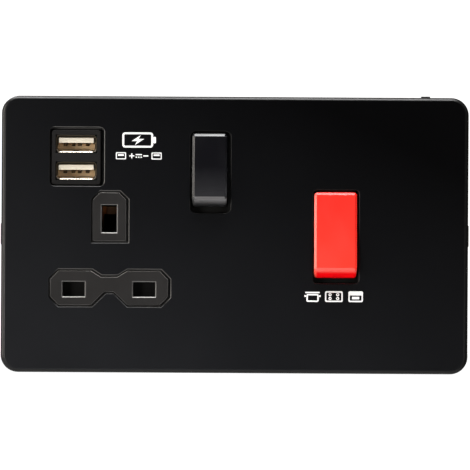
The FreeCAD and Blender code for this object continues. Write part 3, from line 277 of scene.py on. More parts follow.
def surface(name, inputs, layers, tone, stretch=None):
    """An effect whose height adds up noises. Each noise has a share of the scale and a detail."""
    group, given, result = effect(name, inputs, ("Height", "Tone"))

    def layer(share, detail, stretch=None):
        return noise(group, arithmetic(group, "MULTIPLY", given.outputs["Scale"], share), detail, stretch)

    height = layer(*layers[0], stretch)
    for other in layers[1:]:
        part = arithmetic(group, "MULTIPLY", layer(*other), given.outputs[1])
        height = arithmetic(group, "ADD", height, part)
    group.links.new(height, result.inputs["Height"])
    group.links.new(layer(*tone), result.inputs["Tone"])
    return group


grain_group = surface("moulded_grain", {"Scale": 2500.0, "Mix": 0.5}, ((1.0, 3.0), (0.03, 4.0)), (0.03, 4.0))
peel_group = surface("orange_peel", {"Scale": 900.0, "Speckle": 0.35}, ((1.0, 1.0), (6.0, 2.0)), (0.02, 3.0))
strip_group = surface("drawn_lines", {"Scale": 1500.0}, ((1.0, 4.0),), (0.08, 4.0), (1.0, 1.0, 0.04))
smear_start = 0.42
smear_group, given, result = effect("handling_smears", {"Scale": 160.0, "Amount": 0.5}, ("Mask",))
cloud = noise(smear_group, given.outputs["Scale"], 5.0, (1.0, 1.0, 0.5))
clear = arithmetic(smear_group, "SUBTRACT", cloud, smear_start)
ramp = arithmetic(smear_group, "MULTIPLY", clear, given.outputs["Amount"])
smear_group.links.new(arithmetic(smear_group, "MAXIMUM", ramp, 0.0), result.inputs["Mask"])
print("effect groups:", [g.name for g in bpy.data.node_groups if g.type == "SHADER"])

# %% [markdown]
# A finish is one Principled shader. Its colour drifts a little between two close tones, its
# roughness changes with the same pattern, and a Bump node lifts the grain. One helper writes
# that, so that each finish below reads as a short list of what sets it apart.

# %% The helper for finishes
usual_tones = (0.3, 0.7)


def finish(slot, dark, light, group, scale, bump, depth, rough, metal=0.0, specular=0.5, smears=0.0):
    """A material named after the record's slot, from two tones, an effect and a roughness range."""
    material = bpy.data.materials.new(slot + "_finish")
    material.use_nodes = True
    tree = material.node_tree
    pattern = add(tree, "ShaderNodeGroup", {"node_tree": group}, Scale=scale)
    tone = add(tree, "ShaderNodeMix", {"data_type": "RGBA"}, Factor=pattern.outputs["Tone"],
               A=(*dark, 1), B=(*light, 1))
    relief = add(tree, "ShaderNodeBump", Strength=bump, Distance=depth, Height=pattern.outputs["Height"])
    roughness = map_range(tree, pattern.outputs["Tone"], usual_tones, rough)
    if smears:
        handled = add(tree, "ShaderNodeGroup", {"node_tree": smear_group}, Amount=smears)
        roughness = arithmetic(tree, "ADD", roughness, handled.outputs["Mask"])
    fill_in(tree, tree.nodes["Principled BSDF"], Base_Color=tone.outputs["Result"], Roughness=roughness,
            Normal=relief.outputs["Normal"], Metallic=metal, Specular_IOR_Level=specular)
    return material


# %% [markdown]
# Some finishes change over a piece, and most of these changes are painted light and shade. The plate's cut
# edges are painted a little lighter, and a painted highlight runs along the edges round the insert and the
# socket's islands. Painted shade makes the plate darker and less shiny towards its upper right corner, and
# its lower and right sides shine less. The islands have painted shade on their edges and a painted highlight
# near the front, brightest on the lower lips of their slots. The rockers' ends come grained and matt out of
# the mould, while their faces are polished. The black rocker's ends are painted lighter as a painted
# reflection, and a painted highlight band runs along the top of each rocker's lower end. The rockers' lower
# parts are painted lighter as painted light, and their left edges, which face a lamp, carry a painted
# highlight. The port shells' mouths get painted shade, and the tongues' rear blocks a painted light tan. A
# mask reads the piece's own normal or place along a direction, so it turns with the piece, and masks may be
# multiplied.

# %% Masks over a piece
base, gleam, matt = "Base Color", "Specular IOR Level", "Roughness"


def mask_along(tree, kind, direction, none, full):
    """A mask from the object's own normal or place along a direction, from none at one value to full."""
    place = add(tree, "ShaderNodeTexCoord")
    along = add(tree, "ShaderNodeVectorMath", {"operation": "DOT_PRODUCT"}, Vector=place.outputs[kind])
    along.inputs[1].default_value = direction
    return map_range(tree, along.outputs["Value"], (none, full))


def varied(material, masks, changes):
    """Other values on the shader where all the masks are one."""
    tree = material.node_tree
    principled = tree.nodes["Principled BSDF"]
    share = mask_along(tree, *masks[0])
    for other in masks[1:]:
        share = arithmetic(tree, "MULTIPLY", share, mask_along(tree, *other))
    for label, value in changes.items():
        socket = principled.inputs[label]
        kind, after = ("RGBA", (*value, 1)) if label == base else ("FLOAT", value)
        before = socket.links[0].from_socket if socket.is_linked else socket.default_value
        mix = add(tree, "ShaderNodeMix", {"data_type": kind}, Factor=share, A=before, B=after)
        tree.links.new(mix.outputs["Result"], socket)


# %% [markdown]
# These are the finishes. The plate is steel under matt black powder coat. The insert and the
# frame are moulded in black with a light grain. Both rockers come from polished moulds, so they
# take a clear gloss. Inside there are brass, phosphor bronze, zinc-plated steel and a green board.
# Each row gives two tones, the effect with its scale, the strength and depth of its relief and
# the roughness, and where it matters the metallic and specular values and the smears.

# %% Finishes
coat, grain, drawn = peel_group, grain_group, strip_group
shallow, medium, deep = 1e-5, 2e-5, 3e-5
finishes = {slot: finish(slot, *look) for slot, look in {
    "plate": ((0.0026, 0.0031, 0.0044), (0.004, 0.0047, 0.0064), coat, 1100, 0.12, medium,
              (0.33, 0.38), 0.0, 0.2),
    "frame_plastic": ((0.008, 0.008, 0.0085), (0.012, 0.012, 0.0125), grain, 2200, 0.2, medium,
                      (0.4, 0.48)),
    "insert_plastic": ((0.006, 0.0057, 0.0057), (0.0115, 0.0108, 0.0108), grain, 2600, 0.25, medium,
                       (0.36, 0.44), 0.0, 0.28),
    "black_rocker": ((0.0022, 0.0021, 0.003), (0.0034, 0.0032, 0.0045), grain, 700, 0.03, shallow,
                     (0.13, 0.17), 0.0, 0.5, 0.3),
    "red_rocker": ((0.86, 0.016, 0.009), (0.93, 0.023, 0.014), grain, 700, 0.03, shallow,
                   (0.26, 0.32), 0.0, 0.5, 0.3),
    "base_plastic": ((0.016, 0.016, 0.017), (0.026, 0.026, 0.027), grain, 1800, 0.25, deep, (0.5, 0.65)),
    "shutter_plastic": ((0.002, 0.002, 0.002), (0.0035, 0.0035, 0.0035), grain, 1800, 0.15, medium,
                        (0.42, 0.5), 0.0, 0.1),
    "tongue_plastic": ((0.76, 0.7, 0.57), (0.84, 0.78, 0.66), grain, 2500, 0.12, shallow, (0.35, 0.45)),
    "brass": ((0.68, 0.49, 0.2), (0.82, 0.62, 0.3), drawn, 1200, 0.1, shallow, (0.24, 0.36), 1.0),
    "copper_strip": ((0.62, 0.33, 0.18), (0.8, 0.47, 0.28), drawn, 1200, 0.12, shallow, (0.26, 0.4), 1.0),
    "steel": ((0.5, 0.5, 0.47), (0.64, 0.64, 0.62), drawn, 1000, 0.1, shallow, (0.26, 0.38), 1.0),
    "shell_metal": ((0.66, 0.6, 0.5), (0.8, 0.75, 0.66), drawn, 1500, 0.08, shallow, (0.2, 0.3), 1.0),
    "spring_steel": ((0.42, 0.42, 0.42), (0.56, 0.56, 0.56), drawn, 2600, 0.1, shallow, (0.25, 0.35), 1.0),
    "board": ((0.012, 0.07, 0.03), (0.02, 0.1, 0.045), grain, 500, 0.1, medium, (0.3, 0.4)),
    "component_black": ((0.01, 0.01, 0.01), (0.018, 0.018, 0.018), grain, 1500, 0.2, medium, (0.45, 0.55)),
    "transformer_tape": ((0.62, 0.42, 0.05), (0.7, 0.5, 0.08), grain, 600, 0.15, medium, (0.25, 0.35)),
    "lead_sheath": ((0.13, 0.045, 0.015), (0.17, 0.06, 0.02), grain, 1500, 0.1, shallow, (0.4, 0.5)),
}.items()}
print("finishes:", len(finishes))

# %% [markdown]
# Masks on a normal choose edges and sides by where they face. Masks on a place choose a band.

# %% What changes over a piece
right, left, back, up, down = (1, 0, 0), (-1, 0, 0), (0, 1, 0), (0, 0, 1), (0, 0, -1)
cut_edge, rounded = ("Normal", back, -0.975, -0.86), ("Normal", back, -0.1, -0.3)
faces_up, faces_down = ("Normal", up, 0.35, 0.7), ("Normal", down, 0.2, 0.6)
faces_right, faces_left = ("Normal", right, 0.2, 0.6), ("Normal", left, 0.15, 0.5)
not_left, not_below = ("Normal", right, 0.3, 0.1), ("Normal", up, 0.5, 0.2)
not_up, end = ("Normal", up, 0.35, 0.05), ("Normal", down, 0.3, 0.7)
cover_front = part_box("socket_cover")[0].y
near_front = ("Object", back, cover_front + 0.9 * mm, cover_front + 0.4 * mm)
round_islands = [("Object", direction, limit + 2 * mm, limit) for direction, limit in (
    (right, -18 * mm), (left, 62 * mm), (up, 38 * mm), (down, 38 * mm))]
shade_to_corner = ("Object", (0.5, 0, 1.0), -60 * mm, 55 * mm)
black_lit_lower, red_lit_lower = ("Object", up, 21.5 * mm, 12 * mm), ("Object", up, 9 * mm, -9 * mm)
black_highlight_band, red_highlight_band = ("Object", up, 9.6 * mm, 11.8 * mm), ("Object", up, -11.9 * mm, -10.3 * mm)
shaded_port_mouth, lit_port_back = ("Object", back, -3 * mm, -3.6 * mm), ("Object", back, 1 * mm, 5 * mm)
for slot, masks, changes in (
    # Painted shade: the plate is darker and less shiny towards its upper right corner.
    ("plate", [shade_to_corner], {base: (0.001, 0.001, 0.0012), gleam: 0.03}),
    # Painted highlight: the plate's cut edges are painted a little lighter and shinier.
    ("plate", [cut_edge], {base: (0.006, 0.0059, 0.0057), gleam: 0.3}),
    # Painted shade: less shine on the plate's lower and right sides.
    ("plate", [faces_down], {gleam: 0.08}),
    ("plate", [faces_right], {gleam: 0.02}),
    # Painted highlight along the edges round the insert and the islands, except on the openings' left and
    # lower sides.
    ("plate", [cut_edge, rounded, *round_islands, not_left, not_below],
     {base: (0.06, 0.058, 0.055), gleam: 0.5}),
    # Painted shade on the islands' edges and slot walls, a painted highlight near the front, and the
    # brightest painted highlight on the slots' lower lips.
    ("insert_plastic", [cut_edge], {base: (0.003, 0.0028, 0.0028), gleam: 0.15}),
    ("insert_plastic", [cut_edge, rounded, near_front], {base: (0.1, 0.098, 0.096), gleam: 0.35}),
    ("insert_plastic", [faces_up, near_front], {base: (0.3, 0.29, 0.28), matt: 0.15, gleam: 0.5}),
    # Painted light: the black rocker's face is painted lighter towards the bottom.
    ("black_rocker", [black_lit_lower], {base: (0.016, 0.016, 0.018)}),
    # The black rocker's ends are grained and matt; their lighter colour is a painted reflection.
    ("black_rocker", [end], {base: (0.012, 0.012, 0.013), matt: 0.45}),
    # Painted highlight band along the top of the black rocker's lower end.
    ("black_rocker", [end, black_highlight_band], {base: (0.24, 0.235, 0.24)}),
    # Painted light: the red rocker's face is painted lighter towards the bottom.
    ("red_rocker", [red_lit_lower], {base: (0.95, 0.03, 0.017)}),
    ("red_rocker", [end], {base: (0.9, 0.002, 0.005), matt: 0.35, gleam: 0.15}),
    # Painted highlight band along the top of the red rocker's lower end.
    ("red_rocker", [end, red_highlight_band], {base: (1.0, 0.22, 0.17)}),
    # Painted highlight: the rockers' left-facing edges are painted lighter and shinier.
    ("black_rocker", [faces_left], {gleam: 1.0, base: (0.02, 0.02, 0.021)}),
    ("red_rocker", [faces_left], {gleam: 0.9, base: (0.95, 0.09, 0.06)}),
    # Painted shade on the shells' mouths, apart from the lower lip that faces up.
    ("shell_metal", [not_up, shaded_port_mouth], {base: (0.05, 0.04, 0.028), matt: 0.5}),
    # Painted light: the tongues' rear blocks deep in the ports are painted a lighter tan.
    ("tongue_plastic", [lit_port_back], {base: (1.0, 0.72, 0.41)}),
):
    varied(finishes[slot], masks, changes)

# %% [markdown]
# Some nodes need something of their own. The charger's insert is a darker moulding than the socket's
# islands. The springs of its ports lie in the shade of the tongue, and painted shade gives them an almost
# black colour; the wells that the rockers swing in get the same painted shade.

# %% Every solid takes its slot's finish
own_finish = {
    "usb_insert": finish("dark_insert", (0.0045, 0.0043, 0.0045), (0.007, 0.0066, 0.0068), grain, 2600,
                         0.25, medium, (0.34, 0.42), specular=0.2),
    "upper_port_pins": finish("painted_shade_pins", (0.05, 0.033, 0.018), (0.08, 0.055, 0.03), drawn, 1500,
                              0.1, shallow, (0.4, 0.5), 1.0),
    "socket_switch_carrier": finish("painted_shade_well", (0.0015, 0.0015, 0.0015), (0.0026, 0.0026, 0.0026), grain,
                                    1800, 0.2, medium, (0.5, 0.6), specular=0.12),
}
own_finish["lower_port_pins"] = own_finish["upper_port_pins"]
own_finish["cooker_switch_carrier"] = own_finish["socket_switch_carrier"]
slots = {part["node"]: part["material_slot"] for part in frame["record"]["subparts"]}


def finish_of(node):
    """A node's own finish, or its slot's."""
    return own_finish.get(node, finishes[slots[node]])


for node, solid in frame["nodes"].items():
    solid.data.materials.clear()
    solid.data.materials.append(finish_of(node))
print("nodes with a finish:", len(slots))

# %% [markdown]
# A solid from CAD has knife edges, and real mouldings never do: a tiny radius catches the
# light, and that bright line is what makes an edge look real. The copy of a solid is merged,
# its flat faces are made whole, and a Bevel modifier rounds the sharp edges. The result
# is a plain mesh that replaces the solid, of the same size to a few hundredths of a millimetre.

# %% Helpers for softened copies
bodies = frame["record"]["behaviour"]["bodies"]
body_of = {member: body for body, members in bodies.items() for member in members}
same_spot = 2e-6


def new_piece(name, mesh, material):
    """An object at the origin for a finished mesh."""
    piece = placed(name, mesh)
    mesh.materials.clear()
    mesh.materials.append(material)
    return piece


def settle(piece, body, slot, *replaced):
    """Lets a piece ride on its body and hides the solids that it stands for. Its slot is not used."""
    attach(piece, body)
    if replaced:
        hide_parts(*replaced)
    return piece


def welded(node):
    """A solid's mesh for editing, with shared corners."""
    shape = bmesh.new()
    shape.from_mesh(frame["nodes"][node].data)
    bmesh.ops.remove_doubles(shape, verts=shape.verts, dist=same_spot)
    return shape


def merged_mesh(node, name, flat_angle=0.6):
    """A copy of a solid's mesh with shared corners and whole flat faces."""
    mesh = frame["nodes"][node].data.copy()
    mesh.name = name
    shape = welded(node)
    bmesh.ops.dissolve_limit(shape, angle_limit=radians(flat_angle), verts=shape.verts, edges=shape.edges)
    shape.to_mesh(mesh)
    shape.free()
    return mesh


def bake(piece):
    """Makes a piece's modifiers part of its mesh."""
    graph = bpy.context.evaluated_depsgraph_get()
    final = piece.evaluated_get(graph)
    mesh = bpy.data.meshes.new_from_object(final, preserve_all_data_layers=True, depsgraph=graph)
    old = piece.data
    piece.modifiers.clear()
    piece.data = mesh
    bpy.data.meshes.remove(old)


def softened(node, width, segments, edge_angle=35):
    """Replaces a solid by a copy whose sharp edges have a small radius."""
    piece = new_piece(node + "_soft", merged_mesh(node, node + "_soft"), finish_of(node))
    bevel = piece.modifiers.new("edge", "BEVEL")
    bevel.width = width
    bevel.segments = segments
    bevel.limit_method = "ANGLE"
    bevel.angle_limit = radians(edge_angle)
    bevel.use_clamp_overlap = True
    piece.data.shade_smooth()
    even = piece.modifiers.new("even", "WEIGHTED_NORMAL")
    even.mode = "FACE_AREA"
    even.weight = 100
    even.keep_sharp = True
    bpy.context.view_layer.update()
    bake(piece)
    return settle(piece, body_of[node], slots[node], node)


# %% Softened copies
for width, segments, members in (
    (0.16, 3, ("front_plate", "socket_cover")),
    (0.12, 2, ("usb_insert",)),
    (0.42, 5, ("socket_rocker", "cooker_rocker")),
    (0.12, 2, ("mounting_frame",)),
    (0.15, 3, ("upper_port_tongue", "lower_port_tongue")),
    (0.2, 2, ("socket_base", "cooker_switch_base", "usb_rear_cover")),
    (0.12, 2, ("socket_switch_carrier", "cooker_switch_carrier")),
    (0.25, 2, ("supply_live_terminal", "supply_neutral_terminal", "load_live_terminal",
               "load_neutral_terminal", "earth_terminal")),
    (0.06, 1, ("plate_earth_spring",)),
    (0.1, 1, ("shutter",)),
):
    for node in members:
        piece = softened(node, width * mm, segments)
        print(node, len(piece.data.polygons), "faces")

# %% [markdown]
# White ink is printed on the plate: a row of three plain pictures for the cooker's switch, and two
# rows beside the charging ports. Each shape is a flat closed outline, perhaps with holes. A 2D
# curve fills such outlines by itself, so each shape starts as a curve, gets 0.03 mm of thickness
# for the ink, is made a mesh, and is then stood up in front of the plate.

# %% Outlines for printing
def round_corners(half_width, half_height, radius, order=(0, 1, 2, 3), steps=6):
    """Points round a rectangle's corners, counted anticlockwise from the upper right one."""
    points = []
    for quarter in order:
        sx, sz = ((1, 1), (-1, 1), (-1, -1), (1, -1))[quarter]
        cx, cz = sx * (half_width - radius), sz * (half_height - radius)
        for step in range(steps + 1):
            angle = radians(90 * (quarter + step / steps))
            points.append((cx + radius * cos(angle), cz + radius * sin(angle)))
    return points


def oblong(x, z, width, height, radius):
    """The outline of a rectangle with round corners."""
    return [(x + dx, z + dz) for dx, dz in round_corners(width / 2, height / 2, radius)]


def disc(x, z, radius, steps=40):
    """The outline of a circle."""
    turns = [2 * pi * i / steps for i in range(steps)]
    return [(x + radius * cos(turn), z + radius * sin(turn)) for turn in turns]


def stroke(x0, z0, x1, z1, width):
    """The outline of a straight stroke with square ends."""
    along = Vector((x1 - x0, z1 - z0)).normalized()
    side = Vector((-along.y, along.x)) * (width / 2)
    ends = ((x0, z0, 1), (x0, z0, -1), (x1, z1, -1), (x1, z1, 1))
    return [(x + way * side.x, z + way * side.y) for x, z, way in ends]


def framed(x, z, width, height, radius, inner_radius, border):
    """An oblong outline with a hole that leaves a border all round."""
    hole = oblong(x, z, width - 2 * border, height - 2 * border, inner_radius)
    return [oblong(x, z, width, height, radius), hole]


# %% Ink and its prints
ink = finish("print_ink", (0.84, 0.85, 0.86), (0.9, 0.91, 0.92), grain, 3000, 0.08, shallow, (0.45, 0.55))
ink_thickness = 0.03 * mm


def printed(name, shapes, x, z):
    """Ink on the plate. Each shape is a list of outlines in mm from the print's middle."""
    whole = bmesh.new()
    for outlines in shapes:
        curve = bpy.data.curves.new(name, "CURVE")
        curve.dimensions = "2D"
        curve.fill_mode = "BOTH"
        curve.extrude = ink_thickness / 2
        for outline in outlines:
            spline = curve.splines.new("POLY")
            spline.points.add(len(outline) - 1)
            for point, (px, pz) in zip(spline.points, outline):
                point.co = ((x + px) * mm, (z + pz) * mm, 0, 1)
            spline.use_cyclic_u = True
        holder = placed(name, curve)
        bpy.context.view_layer.update()
        mesh = bpy.data.meshes.new_from_object(holder)
        whole.from_mesh(mesh)
        bpy.data.objects.remove(holder)
        bpy.data.meshes.remove(mesh)
    upright = Matrix.Rotation(radians(90), 4, "X")
    whole.transform(Matrix.Translation((0, plate_front_y - ink_thickness / 2, 0)) @ upright)
    mesh = bpy.data.meshes.new(name)
    whole.to_mesh(mesh)
    whole.free()
    settle(new_piece(name, mesh, ink), "unit", "tongue_plastic")
    print(name, len(mesh.polygons), "faces")


# %% The row for the cooker's switch
line, row_height = 0.46, 3.4
pot_x, pot_z, oven_x, door_z, door_drop = -6.7, -0.45, 6.85, -0.42, 0.85
pot = [
    framed(pot_x, pot_z, 3.9, 2.5, 0.5, 0.2, line),
    [oblong(pot_x, 1.25, 4.6, line, 0.2)],
    [oblong(-9.0, 0.15, 0.5, 0.6, 0.15)],
    [oblong(-4.4, 0.15, 0.5, 0.6, 0.15)],
]
hob = [framed(0, 0, 5.6, row_height, 0.5, 0.2, line)]
for ring_x in (-1.2, 1.2):
    for ring_z in (-0.6, 0.6):
        hob.append([disc(ring_x, ring_z, 0.5), disc(ring_x, ring_z, 0.2)])
door = oblong(oven_x, door_z, 4.6 - 2 * line, row_height - 2 * line - door_drop, 0.2)
oven = [
    [oblong(oven_x, 0, 4.6, row_height, 0.5), door],
    [oblong(oven_x, door_z, 2.3, 0.8, 0.15)],
]
printed("print_cooker_row", pot + hob + oven, 31.3, -19.2)

# %% The battery and the row under it
signs_x, battery_z, charging_z = -30.3, 29.7, 24.7
battery = [
    framed(-0.35, 0, 9.7, 4.8, 0.9, 0.4, 0.6),
    [oblong(4.95, 0, 0.8, 2.0, 0.2)],
    [[(0.6, 1.55), (-2.3, -0.35), (-0.55, -0.35), (-1.2, -1.55), (1.7, 0.35), (-0.05, 0.35)]],
]
printed("print_battery", battery, signs_x, battery_z)
row = []
for port_x in (-5.6, 5.6):
    row.append(framed(port_x, 0, 3.2, 2.2, 0.25, 0.1, 0.3))
    row.append([oblong(port_x, 0.25, 1.9, 0.5, 0.1)])
plus_x, arm, half = -2.2, 0.8, 0.17
upper = [(-arm, half), (-half, half), (-half, arm), (half, arm), (half, half), (arm, half)]
row.append([[(plus_x + x, z) for x, z in upper + [(-x, -z) for x, z in upper]]])
row.append([oblong(0, 0.4, 2.0, 0.36, 0.05)])
for dash_x in (-0.76, 0, 0.76):
    row.append([oblong(dash_x, -0.4, 0.48, 0.36, 0.05)])
row.append([oblong(2.2, 0, 1.6, 0.36, 0.05)])
printed("print_charging_row", row, signs_x, charging_z)

# %% [markdown]
# Screws are the first thing that repeats: twelve of them in three sizes. A screw is a turned part,
# so one Geometry Nodes tree turns it: a flat grid is bent round an axis, with one edge as the
# angle and the other as the way along the profile. The thread is a ridge whose height depends on
# angle and depth together, which makes a real helix. A small class lets the formulas be
# written like plain sums instead of as dozens of Math nodes.

# %% Helpers for Geometry Nodes
class Number:
    """A number in a node tree that can be added and multiplied like any other."""

    def __init__(self, tree, socket):
        self.tree, self.socket = tree, socket

    def by(self, kind, *others):
        return Number(self.tree, arithmetic(self.tree, kind, self, *others))

    def __add__(self, other):
        return self.by("ADD", other)

    def __sub__(self, other):
        return self.by("SUBTRACT", other)

    def __mul__(self, other):
        return self.by("MULTIPLY", other)

    def __truediv__(self, other):
        return self.by("DIVIDE", other)


def geometry(group, kind, settings=None, **inputs):
    """The first output of a new geometry node."""
    return add(group, "GeometryNode" + kind, settings, **inputs).outputs[0]


def geometry_group(name, sizes):
    """A geometry group with places, named sizes and a material as inputs."""
    group = bpy.data.node_groups.new(name, "GeometryNodeTree")
    group.interface.new_socket("Places", in_out="INPUT", socket_type="NodeSocketGeometry")
    number_inputs(group, sizes)
    group.interface.new_socket("Material", in_out="INPUT", socket_type="NodeSocketMaterial")
    group.interface.new_socket("Mesh", in_out="OUTPUT", socket_type="NodeSocketGeometry")
    start = group.nodes.new("NodeGroupInput")
    end = group.nodes.new("NodeGroupOutput")
    return group, start, end, {label: Number(group, start.outputs[label]) for label in sizes}


def spread(group, start, end, shape):
    """Sets the shape on every place, turned as the place says, and ends the tree."""
    turn = geometry(group, "InputNamedAttribute", {"data_type": "FLOAT_VECTOR"}, Name="turn")
    angles = add(group, "FunctionNodeEulerToRotation", Euler=turn)
    set_down = geometry(group, "InstanceOnPoints", Points=start.outputs["Places"], Instance=shape,
                        Rotation=angles.outputs[0])
    real = geometry(group, "RealizeInstances", Geometry=set_down)
    coated = geometry(group, "SetMaterial", Geometry=real, Material=start.outputs["Material"])
    group.links.new(coated, end.inputs["Mesh"])


def grown(name, group, places, sizes, node, smooth=35, replace=True):
    """Runs a group on places, each a point and three angles, and keeps a plain mesh for that node."""
    seed = bpy.data.meshes.new(name)
    seed.from_pydata([point for point, turn in places], [], [])
    turns = seed.attributes.new("turn", "FLOAT_VECTOR", "POINT")
    for index, (point, turn) in enumerate(places):
        turns.data[index].vector = turn
    piece = placed(name, seed)
    modifier = piece.modifiers.new("grow", "NODES")
    modifier.node_group = group
    for item in group.interface.items_tree:
        if item.name == "Material":
            modifier[item.identifier] = finish_of(node)
        elif item.name in sizes:
            modifier[item.identifier] = sizes[item.name]
    bpy.context.view_layer.update()
    bake(piece)
    piece.data.shade_smooth()
    piece.data.set_sharp_from_angle(angle=radians(smooth))
    print(name, len(piece.data.polygons), "faces")
    return settle(piece, body_of[node], slots[node], *([node] if replace else []))


def turned(group, around, rows, profile):
    """A grid bent round the Z axis. The profile gives radius and height from a share and an angle."""
    grid = geometry(group, "MeshGrid", Size_X=1.0, Size_Y=1.0, Vertices_X=around + 1, Vertices_Y=rows)
    split = add(group, "ShaderNodeSeparateXYZ", Vector=geometry(group, "InputPosition"))
    angle = (Number(group, split.outputs[0]) + 0.5) * (2 * pi)
    radius, height = profile(Number(group, split.outputs[1]) + 0.5, angle)
    bent = add(group, "ShaderNodeCombineXYZ",
               X=radius * angle.by("COSINE"), Y=radius * angle.by("SINE"), Z=height)
    shaped = geometry(group, "SetPosition", Geometry=grid, Position=bent.outputs[0])
    return geometry(group, "MergeByDistance", Geometry=shaped, Distance=same_spot)


# %% [markdown]
# The head's profile runs from the middle of its underside out to the rim, up, round the top edge
# and back to the middle. Rows of the grid are counted, and each range of rows takes one part of
# that way. The slot is cut with a Boolean. The shank starts at its tip: each turn of the thread
# is one pitch high, and its flanks rise and fall in a straight line.

# %% The slotted screw
screw_group, start, end, size = geometry_group("slotted_screw", {
    "Head Radius": 3.0 * mm, "Head Height": 1.5 * mm, "Edge": 0.3 * mm, "Slot Width": 0.8 * mm,
    "Slot Depth": 0.8 * mm, "Neck Radius": 1.8 * mm, "Neck Length": 1.0 * mm, "Thread Radius": 1.75 * mm,
    "Thread Depth": 0.35 * mm, "Pitch": 0.7 * mm, "Length": 10.0 * mm,
})
head_rows, head_sides, rows_per_turn, shank_sides = 12, 48, 6, 28
root_share, tip_share = 0.85, 0.62


def head_profile(share, angle):
    """The head from the middle of its underside over the rim to the middle of its top."""
    row = share * (head_rows - 1)
    bend = ((row - 2) / (head_rows - 4)).by("MAXIMUM", 0.0).by("MINIMUM", 1.0) * (pi / 2)
    inside = row.by("GREATER_THAN", 0.5) * row.by("LESS_THAN", head_rows - 1.5)
    radius = (size["Head Radius"] - size["Edge"] + size["Edge"] * bend.by("COSINE")) * inside
    height = size["Head Height"] - size["Edge"] + size["Edge"] * bend.by("SINE")
    return radius, height * row.by("GREATER_THAN", 1.5)


def shank_profile(share, angle):
    """The shank from its tip up to the head, with a plain neck above the thread."""
    height = size["Length"] * (share - 1)
    phase = (height / size["Pitch"] + angle / (2 * pi)).by("FRACT")
    flank = ((phase - 0.5).by("ABSOLUTE") * 2).by("MINIMUM", root_share)
    ridge = size["Thread Radius"] - size["Thread Depth"] * flank
    neck = height.by("GREATER_THAN", size["Neck Length"] * -1)
    radius = ridge + (size["Neck Radius"] - ridge) * neck
    tip = size["Thread Radius"] * tip_share + (height + size["Length"])
    return radius.by("MINIMUM", tip) * share.by("GREATER_THAN", 0.0005), height


head = turned(screw_group, head_sides, head_rows, head_profile)
cutter = add(screw_group, "ShaderNodeCombineXYZ",
             X=size["Head Radius"] * 2.4, Y=size["Slot Width"], Z=size["Slot Depth"] * 2)
bar = geometry(screw_group, "MeshCube", Size=cutter.outputs[0])
lift = add(screw_group, "ShaderNodeCombineXYZ", Z=size["Head Height"])
raised = geometry(screw_group, "Transform", Geometry=bar, Translation=lift.outputs[0])
slotted = geometry(screw_group, "MeshBoolean", {"operation": "DIFFERENCE", "solver": "EXACT"},
                   Mesh_1=head, Mesh_2=raised)
turns_of_thread = size["Length"] / size["Pitch"] * rows_per_turn
shank = turned(screw_group, shank_sides, turns_of_thread, shank_profile)
whole = add(screw_group, "GeometryNodeJoinGeometry", Geometry=slotted)
screw_group.links.new(shank, whole.inputs[0])
spread(screw_group, start, end, whole.outputs[0])
print("nodes in the screw's tree:", len(screw_group.nodes))


# %% Where the solids have their screws
def islands(node):
    """The lowest and highest corner of every separate solid of a node."""
    shape = welded(node)
    left, found = set(shape.verts), []
    while left:
        reached, todo = set(), [left.pop()]
        while todo:
            vert = todo.pop()
            reached.add(vert)
            for edge in vert.link_edges:
                other = edge.other_vert(vert)
                if other in left:
                    left.discard(other)
                    todo.append(other)
        spots = [v.co for v in reached]
        found.append([Vector([pick(c[i] for c in spots) for i in range(3)]) for pick in (min, max)])
    shape.free()
    return sorted(found, key=lambda pair: (round(pair[0].x, 4), round(pair[0].z, 4)))


slot_turns = (0.3, 1.2, 2.1, 0.9, 2.7, 1.7)


def screws(node, to_front, head_height, sizes):
    """All screws of a node. Each slot stands at its own angle, as screws do."""
    places = []
    for index, (low, high) in enumerate(islands(node)):
        middle = (low + high) / 2
        seat = low.y + head_height if to_front else high.y - head_height
        way = 1 if to_front else -1
        places.append(((middle.x, seat, middle.z), (way * radians(90), way * slot_turns[index], 0)))
    low, high = islands(node)[0]
    sizes = {**sizes, "Length": high.y - low.y - head_height, "Head Height": head_height,
             "Head Radius": (high.x - low.x) / 2}
    grown(node + "_turned", screw_group, places, sizes, node)


# %% Fixing, housing and terminal screws
measures = ("Edge", "Slot Width", "Slot Depth", "Neck Radius", "Neck Length", "Thread Radius",
            "Thread Depth", "Pitch")
for node, to_front, head_height, sizes in (
    ("fixing_screws", True, 1.9, (0.35, 0.9, 0.9, 1.72, 1.8, 1.75, 0.36, 0.6)),
    ("housing_screws", False, 1.4, (0.3, 0.6, 0.6, 1.15, 1.0, 1.3, 0.35, 0.9)),
    ("terminal_screws", False, 1.0, (0.22, 0.75, 0.75, 2.1, 0.05, 2.28, 0.35, 0.6)),
):
    screws(node, to_front, head_height * mm, {label: value * mm for label, value in zip(measures, sizes)})

# %% [markdown]
# The shutter's return spring is wound from round wire, with its two end turns closed as a real one has them.
# A spiral curve gives the turns, its height is set anew from the place along the wire, and a small circle is
# swept along it. The shutter presses the spring together as it slides down; that joint's travel is read
# here, but the piece is not squashed by it.

